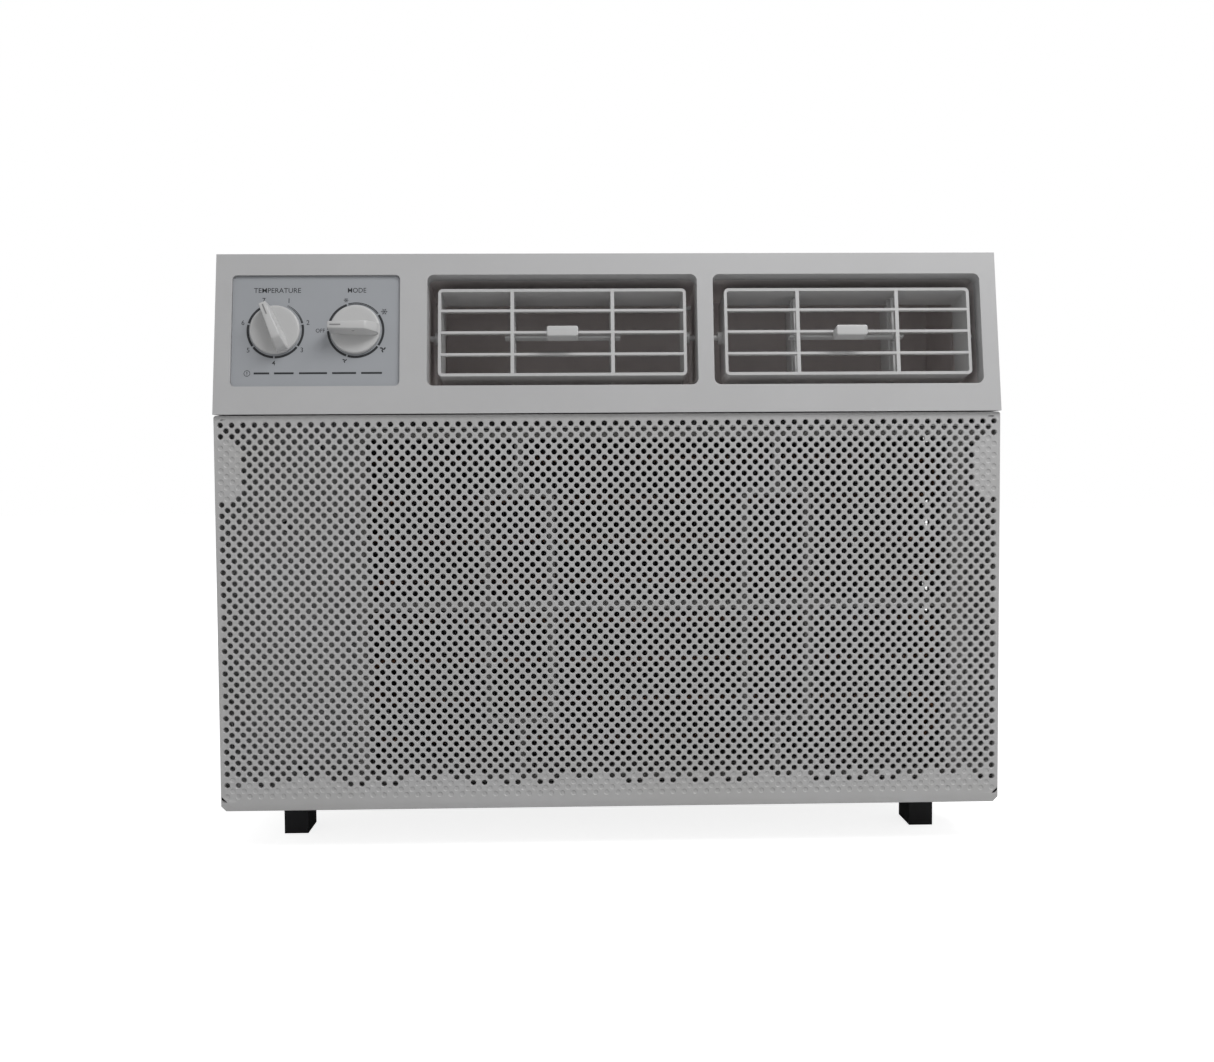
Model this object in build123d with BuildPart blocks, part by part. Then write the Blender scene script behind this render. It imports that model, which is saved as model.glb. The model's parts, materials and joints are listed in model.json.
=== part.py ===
from build123d import *
import os
from math import cos, radians, sin, tan

# Window air conditioner: moulded front panel with swinging air louvers and a hinged
# intake grille, a sheet-steel cabinet and base pan, and the sealed cooling circuit inside.
# +X is to the right of somebody facing the front, +Y to the rear, +Z up. The origin is on
# the floor, under the middle of the appliance. All sizes are in millimetres.

# ---------------------------------------------------------------- driving dimensions
PANEL_W = 470.0  # width of the moulded front
PANEL_BOTTOM = 26.0  # underside of the front above the floor
PANEL_TOP = 360.1
SEAM_Z = 263.5  # where the sloping fascia meets the intake grille
FRONT_Y = -190.3  # foremost edge of the fascia, at the seam
REAR_Y = 197.5  # rear face of the rear guard
WALL = 2.5  # moulded wall thickness

CABINET_FRONT_Y = -138.0
CABINET_W = 458.0
CABINET_TOP = 353.5
SHEET = 1.0  # steel sheet thickness
PAN_Z = 29.5  # underside of the base pan
PAN_RIM = 16.0  # height of the pan's upstand
PAN_FLOOR = PAN_Z + SHEET + 0.1  # parts stand on the pan a hair above its floor
SIDE_SCREWS_Y = (-90.0, 40.0, 170.0)
SIDE_SCREW_Z = PAN_Z + 8
TOP_RAIL_X = (-150.0, 150.0)  # screw holes for the sash rail in the cabinet top
TOP_RAIL_Y = -110.0
FOOT_X = 199.5
FOOT_Y = (-130.5, 163.5)
FOOT_SIZE = (15.0, 27.0)
FOOT_SCREW_L = 24.4
FOOT_SCREW_TOP = 31.4  # just under the condenser's fins

FASCIA_TILT = 9.8  # the fascia leans back, in degrees
FASCIA_BACK = (PANEL_TOP - SEAM_Z) * tan(radians(FASCIA_TILT))
# On the fascia, x runs to the right, s up the slope from the seam and n outwards.
OPENING_S = (16.9, 85.0)  # lower and upper edge of every opening
OPENING_MID_S = (OPENING_S[0] + OPENING_S[1]) / 2
OPENING_H = OPENING_S[1] - OPENING_S[0]
CONTROL_X = (-225.2, -125.1)
OUTLET_X = ((-108.9, 53.3), (62.9, 225.2))
CONTROL_RECESS = 2.5  # depth of the pocket for the control plate
COLLAR_D = 12.5  # depth of the collar behind each outlet
COLLAR_T = 1.6
PLATE_T = 0.8
KNOB_S = 51.4
TEMPERATURE_X = -199.3
MODE_X = -151.5
KNOB_R = 15.0
KNOB_H = 12.5
SKIRT_H = 2.6  # height of a dial's round skirt below its grip
SHAFT_R = 3.0

# Louver: a box-shaped grid on two side pins, with two upright vanes behind it.
LOUVER_W = 150.0
LOUVER_X = (-27.9, 145.3)  # middles of the two louvers
LOUVER_H = 54.0
LOUVER_D = 30.0
LOUVER_RIM = 1.8
LOUVER_SET_BACK = 6.0  # front of the grid behind the fascia surface
BAR_D = 3.0
VANE_X = 30.3  # vanes and upright bars, from the louver's middle
VANE_HALF_H = 24.0
VANE_PIVOT = 20.0  # behind the front of the grid
VANE_ARM = 13.0  # pivot to slider pin
VANE_PIN_R = 1.25
TILT_PIN_R = 1.75
TAB_W = 18.8
TAB_H = 6.4
TAB_D = 11.6
TAB_GAP = 0.8  # between the bars and the tab in front of them
TAB_S = -2.6  # middle of the tab, below the louver's middle bar
RUNNING = 0.08  # radial clearance of a pin in its bore
DUCT_WALL = 1.8
DUCT_BACK_Y = -118.0

# Intake grille and air filter
GRILLE_Y = FRONT_Y + 2.0
GRILLE_T = 2.4
GRILLE_BACK = GRILLE_Y + 20.0
GRILLE_TOP = SEAM_Z - 0.6
HINGE_Y = FRONT_Y + 18.0
HINGE_Z = 32.5
HINGE_X = 213.5
HINGE_R = 2.0
FILTER_X = (-153.0, 212.0)
FILTER_Y = (FRONT_Y + 9.0, FRONT_Y + 15.0)
FILTER_Z = (40.0, 254.0)
FILTER_LOOPS_X = (-55.0, 100.7)  # middles of the two tall loops of ribs
PLATE_Y = FRONT_Y + 28.0  # fixed plate behind the intake grille
WINDOW_X = (-147.0, 206.0)
WINDOW_Z = (44.0, 250.0)
FRONT_SCREWS = ((-176.0, 245.0), (-198.0, 196.0), (-191.0, 46.0), (219.0, 53.0))
GLAND_Y = -150.0
GLAND_Z = 60.0

# Cooling circuit
EVAPORATOR_X = (-137.0, 192.0)
EVAPORATOR_Y = (-157.0, -121.0)
EVAPORATOR_Z = (47.0, 249.0)
EVAPORATOR_PASSES = 8
CONDENSER_X = (-204.0, 204.0)
CONDENSER_Y = (142.0, 178.0)
CONDENSER_Z = (31.7, 340.0)
CONDENSER_PASSES = 12
FIN_T = 0.5
FIN_PITCH = 6.8
COIL_TUBE_R = 3.5
COIL_TUBE_BORE_R = 2.8
COIL_LEAD = 8.0  # straight tube beyond the fins where the pipes join
COMPRESSOR_XY = (-158.0, 20.0)
COMPRESSOR_R = 54.0
COMPRESSOR_Z = (46.0, 226.0)
COMPRESSOR_WALL = 3.5
ACCUMULATOR_XY = (-82.0, 20.0)
ACCUMULATOR_R = 17.0
DRIER_XY = (-205.0, 92.0)
CAPILLARY_X = -217.0
CAPILLARY_Z = 156.0

# Air side
FAN_X = 28.0
FAN_Z = 152.0
MOTOR_R = 42.0
MOTOR_Y = (-40.0, 30.0)
MOTOR_SHAFT_R = 4.0
WHEEL_R = 70.0
WHEEL_Y = (-108.0, -62.0)
WHEEL_BLADES = 32
SCROLL_Y = (-116.0, -55.0)
SCROLL_TOP = 263.9
PLENUM_Z = (264.0, 351.0)
BULKHEAD_Y = -52.0
FAN_R = 112.0
FAN_Y = (94.0, 126.0)
FAN_BLADES = 5
SHROUD_Y = (110.0, 139.0)

fascia = Plane(
    origin=(0, FRONT_Y, SEAM_Z),
    x_dir=(1, 0, 0),
    z_dir=(0, -cos(radians(FASCIA_TILT)), sin(radians(FASCIA_TILT))),
)
fan_axis = Plane((FAN_X, 0, FAN_Z), x_dir=(1, 0, 0), z_dir=(0, 1, 0))


# ---------------------------------------------------------------- helpers
def block(x, y, z, mode=Mode.ADD):
    """A box between the limits x, y and z, on the workplane or location in force."""
    with Locations(((x[0] + x[1]) / 2, (y[0] + y[1]) / 2, (z[0] + z[1]) / 2)):
        return Box(x[1] - x[0], y[1] - y[0], z[1] - z[0], mode=mode)


def rod(centre, radius, length, axis, mode=Mode.ADD):
    """A cylinder of that length centred on a point, along X, Y or Z."""
    turn = {"X": (0, 90, 0), "Y": (90, 0, 0), "Z": (0, 0, 0)}[axis]
    with Locations(Location(centre, turn)):
        return Cylinder(radius, length, mode=mode)


def pipe(points, radius, bend):
    """A round rod whose centre line joins the points with bends of one radius."""
    with BuildLine() as route:
        FilletPolyline(*points, radius=bend)
    with BuildSketch(Plane(route.line @ 0, z_dir=route.line % 0)) as section:
        Circle(radius)
    return sweep(section.sketch, path=route.line)


def on_fascia(x, s, n):
    """The point in space at x, s and n of the fascia."""
    return fascia.from_local_coords(Vector(x, s, n))


os.makedirs("parts", exist_ok=True)

# ---------------------------------------------------------------- front panel
# The moulding with the sloping fascia, its side walls and the plate behind the grille.
panel_half = PANEL_W / 2
panel_inner = panel_half - WALL

with BuildPart() as front_panel:
    with BuildSketch(Plane.YZ.offset(-panel_half)):
        with BuildLine():
            Polyline(
                (FRONT_Y, SEAM_Z),
                (FRONT_Y + FASCIA_BACK, PANEL_TOP),
                (CABINET_FRONT_Y, PANEL_TOP),
                (CABINET_FRONT_Y, PANEL_BOTTOM),
                (FRONT_Y + 27, PANEL_BOTTOM),
                (FRONT_Y + 27, HINGE_Z + 7),
                (FRONT_Y + 23, HINGE_Z + 11),
                (FRONT_Y + 23, SEAM_Z),
                close=True,
            )
        make_face()
    extrude(amount=PANEL_W)
    # the hollow, open to the rear
    with BuildSketch(Plane.YZ.offset(-panel_inner)):
        with BuildLine():
            Polyline(
                (FRONT_Y + WALL * 1.2, SEAM_Z + WALL),
                (FRONT_Y + FASCIA_BACK + WALL * 0.9, PANEL_TOP - WALL),
                (CABINET_FRONT_Y + 1, PANEL_TOP - WALL),
                (CABINET_FRONT_Y + 1, PANEL_BOTTOM + WALL),
                (PLATE_Y + WALL, PANEL_BOTTOM + WALL),
                (PLATE_Y + WALL, SEAM_Z + WALL),
                close=True,
            )
        make_face()
    extrude(amount=2 * panel_inner, mode=Mode.SUBTRACT)
    # room in front of the plate for the grille, and the window for the evaporator
    room_x = (-panel_inner, panel_inner)
    block(room_x, (FRONT_Y + 20, PLATE_Y), (PANEL_BOTTOM - 1, SEAM_Z), Mode.SUBTRACT)
    block(WINDOW_X, (PLATE_Y - 1, PLATE_Y + WALL + 1), WINDOW_Z, Mode.SUBTRACT)
    # flange that screws to the cabinet
    flange_y = (CABINET_FRONT_Y - 2.5, CABINET_FRONT_Y - 0.3)
    flange_z = (PAN_Z + PAN_RIM + 1.5, SEAM_Z - 2)
    block((-panel_inner - 0.5, -CABINET_W / 2 + 8), flange_y, flange_z)
    block((CABINET_W / 2 - 8, panel_inner + 0.5), flange_y, flange_z)
    block(room_x, flange_y, (CABINET_TOP - 7, PANEL_TOP - 1))
    for side in (-1, 1):
        # ears with the grille's hinge bores, and notches round the front feet
        ear_x = (side * HINGE_X - 1.5, side * HINGE_X + 1.5)
        block(ear_x, (HINGE_Y - 4, PLATE_Y + 1), (HINGE_Z - 3.5, HINGE_Z + 4))
        rod((side * HINGE_X, HINGE_Y, HINGE_Z), HINGE_R + RUNNING, 10, "X", Mode.SUBTRACT)
        notch_x = (side * FOOT_X - FOOT_SIZE[0] / 2 - 0.6, side * FOOT_X + FOOT_SIZE[0] / 2 + 0.6)
        notch_y = (FOOT_Y[0] - FOOT_SIZE[1] / 2 - 0.6, CABINET_FRONT_Y + 1)
        block(notch_x, notch_y, (PANEL_BOTTOM - 1, PANEL_BOTTOM + WALL + 1), Mode.SUBTRACT)
    for x, z in FRONT_SCREWS:
        rod((x, PLATE_Y + 7, z), 5.5, 13, "Y")
        rod((x, PLATE_Y + 3, z), 3.6, 8, "Y", Mode.SUBTRACT)
        rod((x, PLATE_Y + 7, z), 1.8, 20, "Y", Mode.SUBTRACT)
    rod((panel_half, GLAND_Y, GLAND_Z), 7.0, 3 * WALL, "X", Mode.SUBTRACT)
    # collars behind the outlets and a floor behind the control pocket
    with Locations(fascia.location):
        floor_x = (CONTROL_X[0] - 2, CONTROL_X[1] + 2)
        block(floor_x, (OPENING_S[0] - 2, OPENING_S[1] + 2), (-CONTROL_RECESS - 2.2, -1))
        for left, right in OUTLET_X:
            collar_x = (left - COLLAR_T, right + COLLAR_T)
            block(collar_x, (OPENING_S[0] - COLLAR_T, OPENING_S[1] + COLLAR_T), (-COLLAR_D, -1))
    with BuildSketch(fascia):
        for left, right in OUTLET_X:
            with Locations(((left + right) / 2, OPENING_MID_S)):
                RectangleRounded(right - left, OPENING_H, 4)
    extrude(amount=-COLLAR_D - 1, mode=Mode.SUBTRACT)
    with BuildSketch(fascia):
        with Locations((sum(CONTROL_X) / 2, OPENING_MID_S)):
            RectangleRounded(CONTROL_X[1] - CONTROL_X[0], OPENING_H, 3)
    extrude(amount=-CONTROL_RECESS, mode=Mode.SUBTRACT)
    with BuildSketch(fascia):
        with Locations((TEMPERATURE_X, KNOB_S), (MODE_X, KNOB_S)):
            Circle(SHAFT_R + 2)
    extrude(amount=-8, mode=Mode.SUBTRACT)
front_panel.part.label = "front_panel"
export_step(front_panel.part, "parts/front_panel.step")

with BuildPart() as front_screws:
    for x, z in FRONT_SCREWS:
        rod((x, PLATE_Y + 5.75, z), 3.2, 2.4, "Y")
        rod((x, PLATE_Y + 12, z), 1.7, 12, "Y")
front_screws.part.label = "front_screws"
export_step(front_screws.part, "parts/front_screws.step")

with BuildPart() as cord_gland:
    rod((panel_half - 2.75, GLAND_Y, GLAND_Z), 6.8, 5.5, "X")
    rod((panel_inner - 1.3, GLAND_Y, GLAND_Z), 8.4, 2.2, "X")
    rod((panel_half - 2.75, GLAND_Y, GLAND_Z), 3.8, 12, "X", Mode.SUBTRACT)
cord_gland.part.label = "cord_gland"
export_step(cord_gland.part, "parts/cord_gland.step")

# ---------------------------------------------------------------- controls
with BuildPart() as control_plate:
    with BuildSketch(fascia.offset(-CONTROL_RECESS)):
        with Locations((sum(CONTROL_X) / 2, OPENING_MID_S)):
            RectangleRounded(CONTROL_X[1] - CONTROL_X[0] - 0.4, OPENING_H - 0.4, 2.8)
        with Locations((TEMPERATURE_X, KNOB_S), (MODE_X, KNOB_S)):
            Circle(SHAFT_R + 1.5, mode=Mode.SUBTRACT)
    extrude(amount=PLATE_T)
control_plate.part.label = "control_plate"
export_step(control_plate.part, "parts/control_plate.step")

knob_base = -CONTROL_RECESS + PLATE_T + 0.4
# name, place, direction of the pointer from the fascia's x, in degrees
for name, knob_x, pointer in (("temperature", TEMPERATURE_X, 112), ("mode", MODE_X, 180)):
    pointer_dir = fascia.x_dir * cos(radians(pointer)) + fascia.y_dir * sin(radians(pointer))
    seat = Plane(on_fascia(knob_x, KNOB_S, knob_base), x_dir=pointer_dir, z_dir=fascia.z_dir)
    # a low round skirt with a tall grip bar whose thin end points at the scale
    with BuildPart() as knob:
        with BuildSketch(seat):
            Circle(KNOB_R)
        extrude(amount=SKIRT_H)
        fillet(knob.edges().filter_by(GeomType.CIRCLE).sort_by(Axis(seat.origin, seat.z_dir))[-1:], 1.0)
        with BuildSketch(seat):
            with BuildLine():
                Polyline(
                    (KNOB_R + 0.6, -2.4),
                    (KNOB_R + 0.6, 2.4),
                    (0, 3.4),
                    (-KNOB_R + 1.0, 4.0),
                    (-KNOB_R + 1.0, -4.0),
                    (0, -3.4),
                    close=True,
                )
            make_face()
        extrude(amount=KNOB_H)
        # the blunt end of the grip slopes down
        with BuildSketch(Plane(seat.origin, x_dir=seat.x_dir, z_dir=-seat.y_dir)):
            with BuildLine():
                Polyline(
                    (-KNOB_R, KNOB_H + 1),
                    (-KNOB_R + 7, KNOB_H + 1),
                    (-KNOB_R + 7, KNOB_H),
                    (-KNOB_R, KNOB_H - 7),
                    close=True,
                )
            make_face()
        extrude(amount=6, both=True, mode=Mode.SUBTRACT)
        fillet(knob.faces().sort_by(Axis(seat.origin, seat.z_dir))[-1].edges(), 0.8)
        with BuildSketch(seat):
            Circle(SHAFT_R)
        extrude(amount=10, mode=Mode.SUBTRACT)
    knob.part.label = f"{name}_knob"
    export_step(knob.part, f"parts/{name}_knob.step")
    with BuildPart() as shaft:
        with BuildSketch(seat.offset(-17)):
            Circle(SHAFT_R)
        extrude(amount=26.5)
    shaft.part.label = f"{name}_shaft"
    export_step(shaft.part, f"parts/{name}_shaft.step")

# sheet box behind the control plate, open to the rear, and what it carries
with BuildPart() as control_box:
    with Locations(fascia.location):
        block((-222, -124), (15, 88), (-92, -12))
        block((-221, -125), (16, 87), (-93, -13), Mode.SUBTRACT)
        for x in (TEMPERATURE_X, MODE_X):
            rod((x, KNOB_S, -12), SHAFT_R + 2.5, 6, "Z", Mode.SUBTRACT)
        rod((TEMPERATURE_X, 15.5, -26), 2.0, 6, "Y", Mode.SUBTRACT)
control_box.part.label = "control_box"
export_step(control_box.part, "parts/control_box.step")

with BuildPart() as thermostat:
    with Locations(fascia.location):
        block((TEMPERATURE_X - 18, TEMPERATURE_X + 18), (KNOB_S - 22, KNOB_S + 22), (-39.2, -13.2))
        rod((TEMPERATURE_X, KNOB_S, -14), 4.6, 6, "Z")
        rod((TEMPERATURE_X, KNOB_S, -14), SHAFT_R + RUNNING, 12, "Z", Mode.SUBTRACT)
thermostat.part.label = "thermostat"
export_step(thermostat.part, "parts/thermostat.step")

with BuildPart() as mode_switch:
    with Locations(fascia.location):
        block((MODE_X - 17, MODE_X + 17), (KNOB_S - 19, KNOB_S + 19), (-43.2, -13.2))
        rod((MODE_X, KNOB_S, -14), 4.6, 6, "Z")
        rod((MODE_X, KNOB_S, -14), SHAFT_R + RUNNING, 12, "Z", Mode.SUBTRACT)
        for column in (-10, 0, 10):
            terminal_x = (MODE_X + column - 2.5, MODE_X + column + 2.5)
            block(terminal_x, (KNOB_S + 3, KNOB_S + 3.8), (-51, -43))
            block(terminal_x, (KNOB_S - 6, KNOB_S - 5.2), (-51, -43))
mode_switch.part.label = "mode_switch"
export_step(mode_switch.part, "parts/mode_switch.step")

with BuildPart() as run_capacitor:
    with Locations(fascia.location):
        rod((-150, KNOB_S, -72), 16, 46, "X")
        block((-128.5, -125.2), (44, 58), (-77, -67))
run_capacitor.part.label = "run_capacitor"
export_step(run_capacitor.part, "parts/run_capacitor.step")

bulb_y, bulb_z = -150.0, 254.5
tail = on_fascia(TEMPERATURE_X, 9.0, -26)
with BuildPart() as thermostat_bulb:
    pipe(
        [
            on_fascia(TEMPERATURE_X, KNOB_S - 22.05, -26),
            tail,
            (TEMPERATURE_X, bulb_y, tail.Z),
            (TEMPERATURE_X, bulb_y, bulb_z),
            (-100, bulb_y, bulb_z),
        ],
        1.2,
        4,
    )
    rod((-67.5, bulb_y, bulb_z), 2.6, 65, "X")
thermostat_bulb.part.label = "thermostat_bulb"
export_step(thermostat_bulb.part, "parts/thermostat_bulb.step")

# ---------------------------------------------------------------- louvers
for side, (left, right), middle in zip(("left", "right"), OUTLET_X, LOUVER_X):
    half_w = LOUVER_W / 2
    half_h = LOUVER_H / 2
    front = Plane(
        on_fascia(middle, OPENING_MID_S, -LOUVER_SET_BACK),
        x_dir=fascia.x_dir,
        z_dir=fascia.z_dir,
    )
    with BuildPart() as grid:
        with BuildSketch(front):
            RectangleRounded(LOUVER_W, LOUVER_H, 2.8)
            RectangleRounded(
                LOUVER_W - 2 * LOUVER_RIM, LOUVER_H - 2 * LOUVER_RIM, 1.2, mode=Mode.SUBTRACT
            )
        extrude(amount=-LOUVER_D)
        with Locations(front.location):
            for share in (-0.25, 0, 0.25):
                bar_s = share * LOUVER_H
                block((-half_w + 1, half_w - 1), (bar_s - 0.75, bar_s + 0.75), (-BAR_D, 0))
            for x in (-VANE_X, VANE_X):
                block((x - 1.1, x + 1.1), (-half_h + 1, half_h - 1), (-BAR_D, 0))
                rod((x, 0, -VANE_PIVOT), VANE_PIN_R + RUNNING, LOUVER_H + 2, "Y", Mode.SUBTRACT)
            # pins that end inside the duct's walls, each with a collar
            for end, wall_x in ((-1, left - middle), (1, right - middle)):
                pin_x = (end * (half_w - 0.5), wall_x + end * (DUCT_WALL - 0.6))
                rod((sum(pin_x) / 2, 0, -LOUVER_D / 2), TILT_PIN_R, abs(pin_x[1] - pin_x[0]), "X")
                rod((end * (half_w + 1.2), 0, -LOUVER_D / 2), 4.0, 3.4, "X")
            # stop peg at the right end
            rod((half_w + 1.8, 19, -LOUVER_D / 2), 1.5, 4.6, "X")
    grid.part.label = f"louver_grid_{side}"
    export_step(grid.part, f"parts/louver_grid_{side}.step")
    for label, x in (("a", -VANE_X), ("b", VANE_X)):
        with BuildPart() as vane:
            with Locations(front.location):
                block((x - 0.7, x + 0.7), (-VANE_HALF_H, VANE_HALF_H), (-42, -11))
                rod((x, 0, -VANE_PIVOT), VANE_PIN_R, 2 * (half_h - 0.5), "Y")
                block((x - 1.5, x + 1.5), (-4.3, -3.1), (-12, -5.8))
                rod((x, -2.6, -VANE_PIVOT + VANE_ARM), 1.0, 3.4, "Y")
        vane.part.label = f"louver_vane_{side}_{label}"
        export_step(vane.part, f"parts/louver_vane_{side}_{label}.step")
    with BuildPart() as slider:
        with Locations(front.location):
            block((-35, 35), (-2.6, -1.1), (-10.6, -3.6))
            for x in (-VANE_X, VANE_X):
                block((x - 1.4, x + 1.4), (-3, 0), (-9.6, -5.6), Mode.SUBTRACT)
            block((-6, 6), (-2.6, -1.1), (-4, 1.5))
        with BuildSketch(front.offset(TAB_GAP)):
            with Locations((0, TAB_S)):
                RectangleRounded(TAB_W, TAB_H, 1.4)
        extrude(amount=TAB_D)
        fillet(slider.faces().sort_by(Axis(front.origin, front.z_dir))[-1].edges(), 0.9)
    slider.part.label = f"louver_slider_{side}"
    export_step(slider.part, f"parts/louver_slider_{side}.step")

# twin duct behind the outlets, with the bores for the louvers' side pins
with BuildPart() as outlet_duct:
    with Locations(fascia.location):
        duct_x = (OUTLET_X[0][0] - DUCT_WALL, OUTLET_X[1][1] + DUCT_WALL)
        duct_s = (OPENING_S[0] - DUCT_WALL, OPENING_S[1] + DUCT_WALL)
        block(duct_x, duct_s, (-80, -COLLAR_D - 0.2))
        for outlet in OUTLET_X:
            block(outlet, OPENING_S, (-81, -COLLAR_D), Mode.SUBTRACT)
        web_x = (OUTLET_X[0][1] + DUCT_WALL, OUTLET_X[1][0] - DUCT_WALL)
        block(web_x, (OPENING_S[0] + 2, OPENING_S[1] - 2), (-81, -14), Mode.SUBTRACT)
        for left, right in OUTLET_X:
            bore = ((left + right) / 2, OPENING_MID_S, -LOUVER_SET_BACK - LOUVER_D / 2)
            rod(bore, TILT_PIN_R + RUNNING, right - left + 2 * DUCT_WALL - 0.8, "X", Mode.SUBTRACT)
    block((-panel_half, panel_half), (DUCT_BACK_Y, 0), (200, 400), Mode.SUBTRACT)
outlet_duct.part.label = "outlet_duct"
export_step(outlet_duct.part, "parts/outlet_duct.step")

# ---------------------------------------------------------------- intake grille and filter
# A shallow tray with a pierced face. It swings down on two pins near its lower edge.
grille_inner = panel_half - GRILLE_T
grille_face_back = GRILLE_Y + GRILLE_T
grille_floor = PANEL_BOTTOM + GRILLE_T
with BuildPart() as intake_grille:
    block((-panel_half, panel_half), (GRILLE_Y, GRILLE_BACK), (PANEL_BOTTOM, GRILLE_TOP))
    inner_x = (-grille_inner, grille_inner)
    inner_z = (grille_floor, GRILLE_TOP - GRILLE_T)
    block(inner_x, (grille_face_back, GRILLE_BACK + 1), inner_z, Mode.SUBTRACT)
    chamfer(intake_grille.edges().filter_by(Axis.Y).group_by(Axis.Z)[0], 3.0)
    with BuildSketch(Plane((0, GRILLE_Y - 1, 144), x_dir=(1, 0, 0), z_dir=(0, 1, 0))):
        with GridLocations(41.4, 36.0, 11, 6):
            Rectangle(37.0, 31.6)
    extrude(amount=GRILLE_T + 2, mode=Mode.SUBTRACT)
    # rails that hold the filter above and below
    rail_x = (FILTER_X[0] - 4, grille_inner + 0.5)
    lip_y = (FILTER_Y[1] + 0.5, FILTER_Y[1] + 2.0)
    block(rail_x, (grille_face_back - 0.5, lip_y[1]), (FILTER_Z[0] - 2.0, FILTER_Z[0] - 0.6))
    block(rail_x, lip_y, (FILTER_Z[0] - 2.0, FILTER_Z[0] + 2.0))
    block(rail_x, (grille_face_back - 0.5, lip_y[1]), (FILTER_Z[1] + 0.6, FILTER_Z[1] + 2.0))
    block(rail_x, lip_y, (FILTER_Z[1] - 2.0, FILTER_Z[1] + 2.0))
    # slot in the right rim where the filter comes out
    slot_y = (FILTER_Y[0] - 0.5, FILTER_Y[1] + 0.5)
    slot_z = (FILTER_Z[0] - 0.5, FILTER_Z[1] + 0.5)
    block((grille_inner - 1, panel_half + 1), slot_y, slot_z, Mode.SUBTRACT)
    for side in (-1, 1):
        # a notch clears the panel's hinge ear; the grille's own ear carries the pin
        notch_x = sorted((side * (HINGE_X - 3), side * (HINGE_X + 2)))
        notch_z = (PANEL_BOTTOM - 1, grille_floor + 1)
        block(notch_x, (grille_face_back, GRILLE_BACK + 1), notch_z, Mode.SUBTRACT)
        ear_x = sorted((side * (HINGE_X + 2), side * (HINGE_X + 5)))
        block(ear_x, (grille_face_back - 0.5, HINGE_Y + 4), (PANEL_BOTTOM + 1, HINGE_Z + 4))
        rod((side * (HINGE_X + 1), HINGE_Y, HINGE_Z), HINGE_R, 6, "X")
        # snap catch near the finger grip
        catch_x = sorted((side * 221.0, side * 227.0))
        catch_z = (GRILLE_TOP - GRILLE_T - 1.6, GRILLE_TOP - GRILLE_T + 0.3)
        block(catch_x, (GRILLE_BACK - 8, PLATE_Y - 0.5), catch_z)
intake_grille.part.label = "intake_grille"
export_step(intake_grille.part, "parts/intake_grille.step")

rib_w = 4.4
rib_y = (FILTER_Y[0], FILTER_Y[0] + 3)
loop_z = (76.0, 218.0)
through_y = (FILTER_Y[0] - 1, FILTER_Y[1] + 1)
with BuildPart() as filter_frame:
    pull_x = panel_half - 0.6
    block((FILTER_X[0], pull_x), FILTER_Y, FILTER_Z)
    mesh_x = (FILTER_X[0] + 6, FILTER_X[1] - 6)
    mesh_z = (FILTER_Z[0] + 6, FILTER_Z[1] - 6)
    block(mesh_x, through_y, mesh_z, Mode.SUBTRACT)
    block((FILTER_X[1] + 4, pull_x - 5), through_y, (FILTER_Z[0] + 10, FILTER_Z[1] - 10), Mode.SUBTRACT)
    for x in FILTER_LOOPS_X:
        block((x - 21.5, x + 21.5), rib_y, loop_z)
        loop_hole_z = (loop_z[0] + rib_w, loop_z[1] - rib_w)
        block((x - 21.5 + rib_w, x + 21.5 - rib_w), through_y, loop_hole_z, Mode.SUBTRACT)
        block((x - rib_w / 2, x + rib_w / 2), rib_y, (loop_z[1] - 1, FILTER_Z[1] - 1))
        block((x - rib_w / 2, x + rib_w / 2), rib_y, (FILTER_Z[0] + 1, loop_z[0] + 1))
    block((FILTER_X[0] + 1, FILTER_X[1] - 1), rib_y, (144.9, 150.1))
filter_frame.part.label = "filter_frame"
export_step(filter_frame.part, "parts/filter_frame.step")

with BuildPart() as filter_mesh:
    mesh_y = (rib_y[1] + 0.05, rib_y[1] + 0.65)
    block((mesh_x[0] + 0.05, mesh_x[1] - 0.05), mesh_y, (mesh_z[0] + 0.05, mesh_z[1] - 0.05))
filter_mesh.part.label = "filter_mesh"
export_step(filter_mesh.part, "parts/filter_mesh.step")

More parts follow.
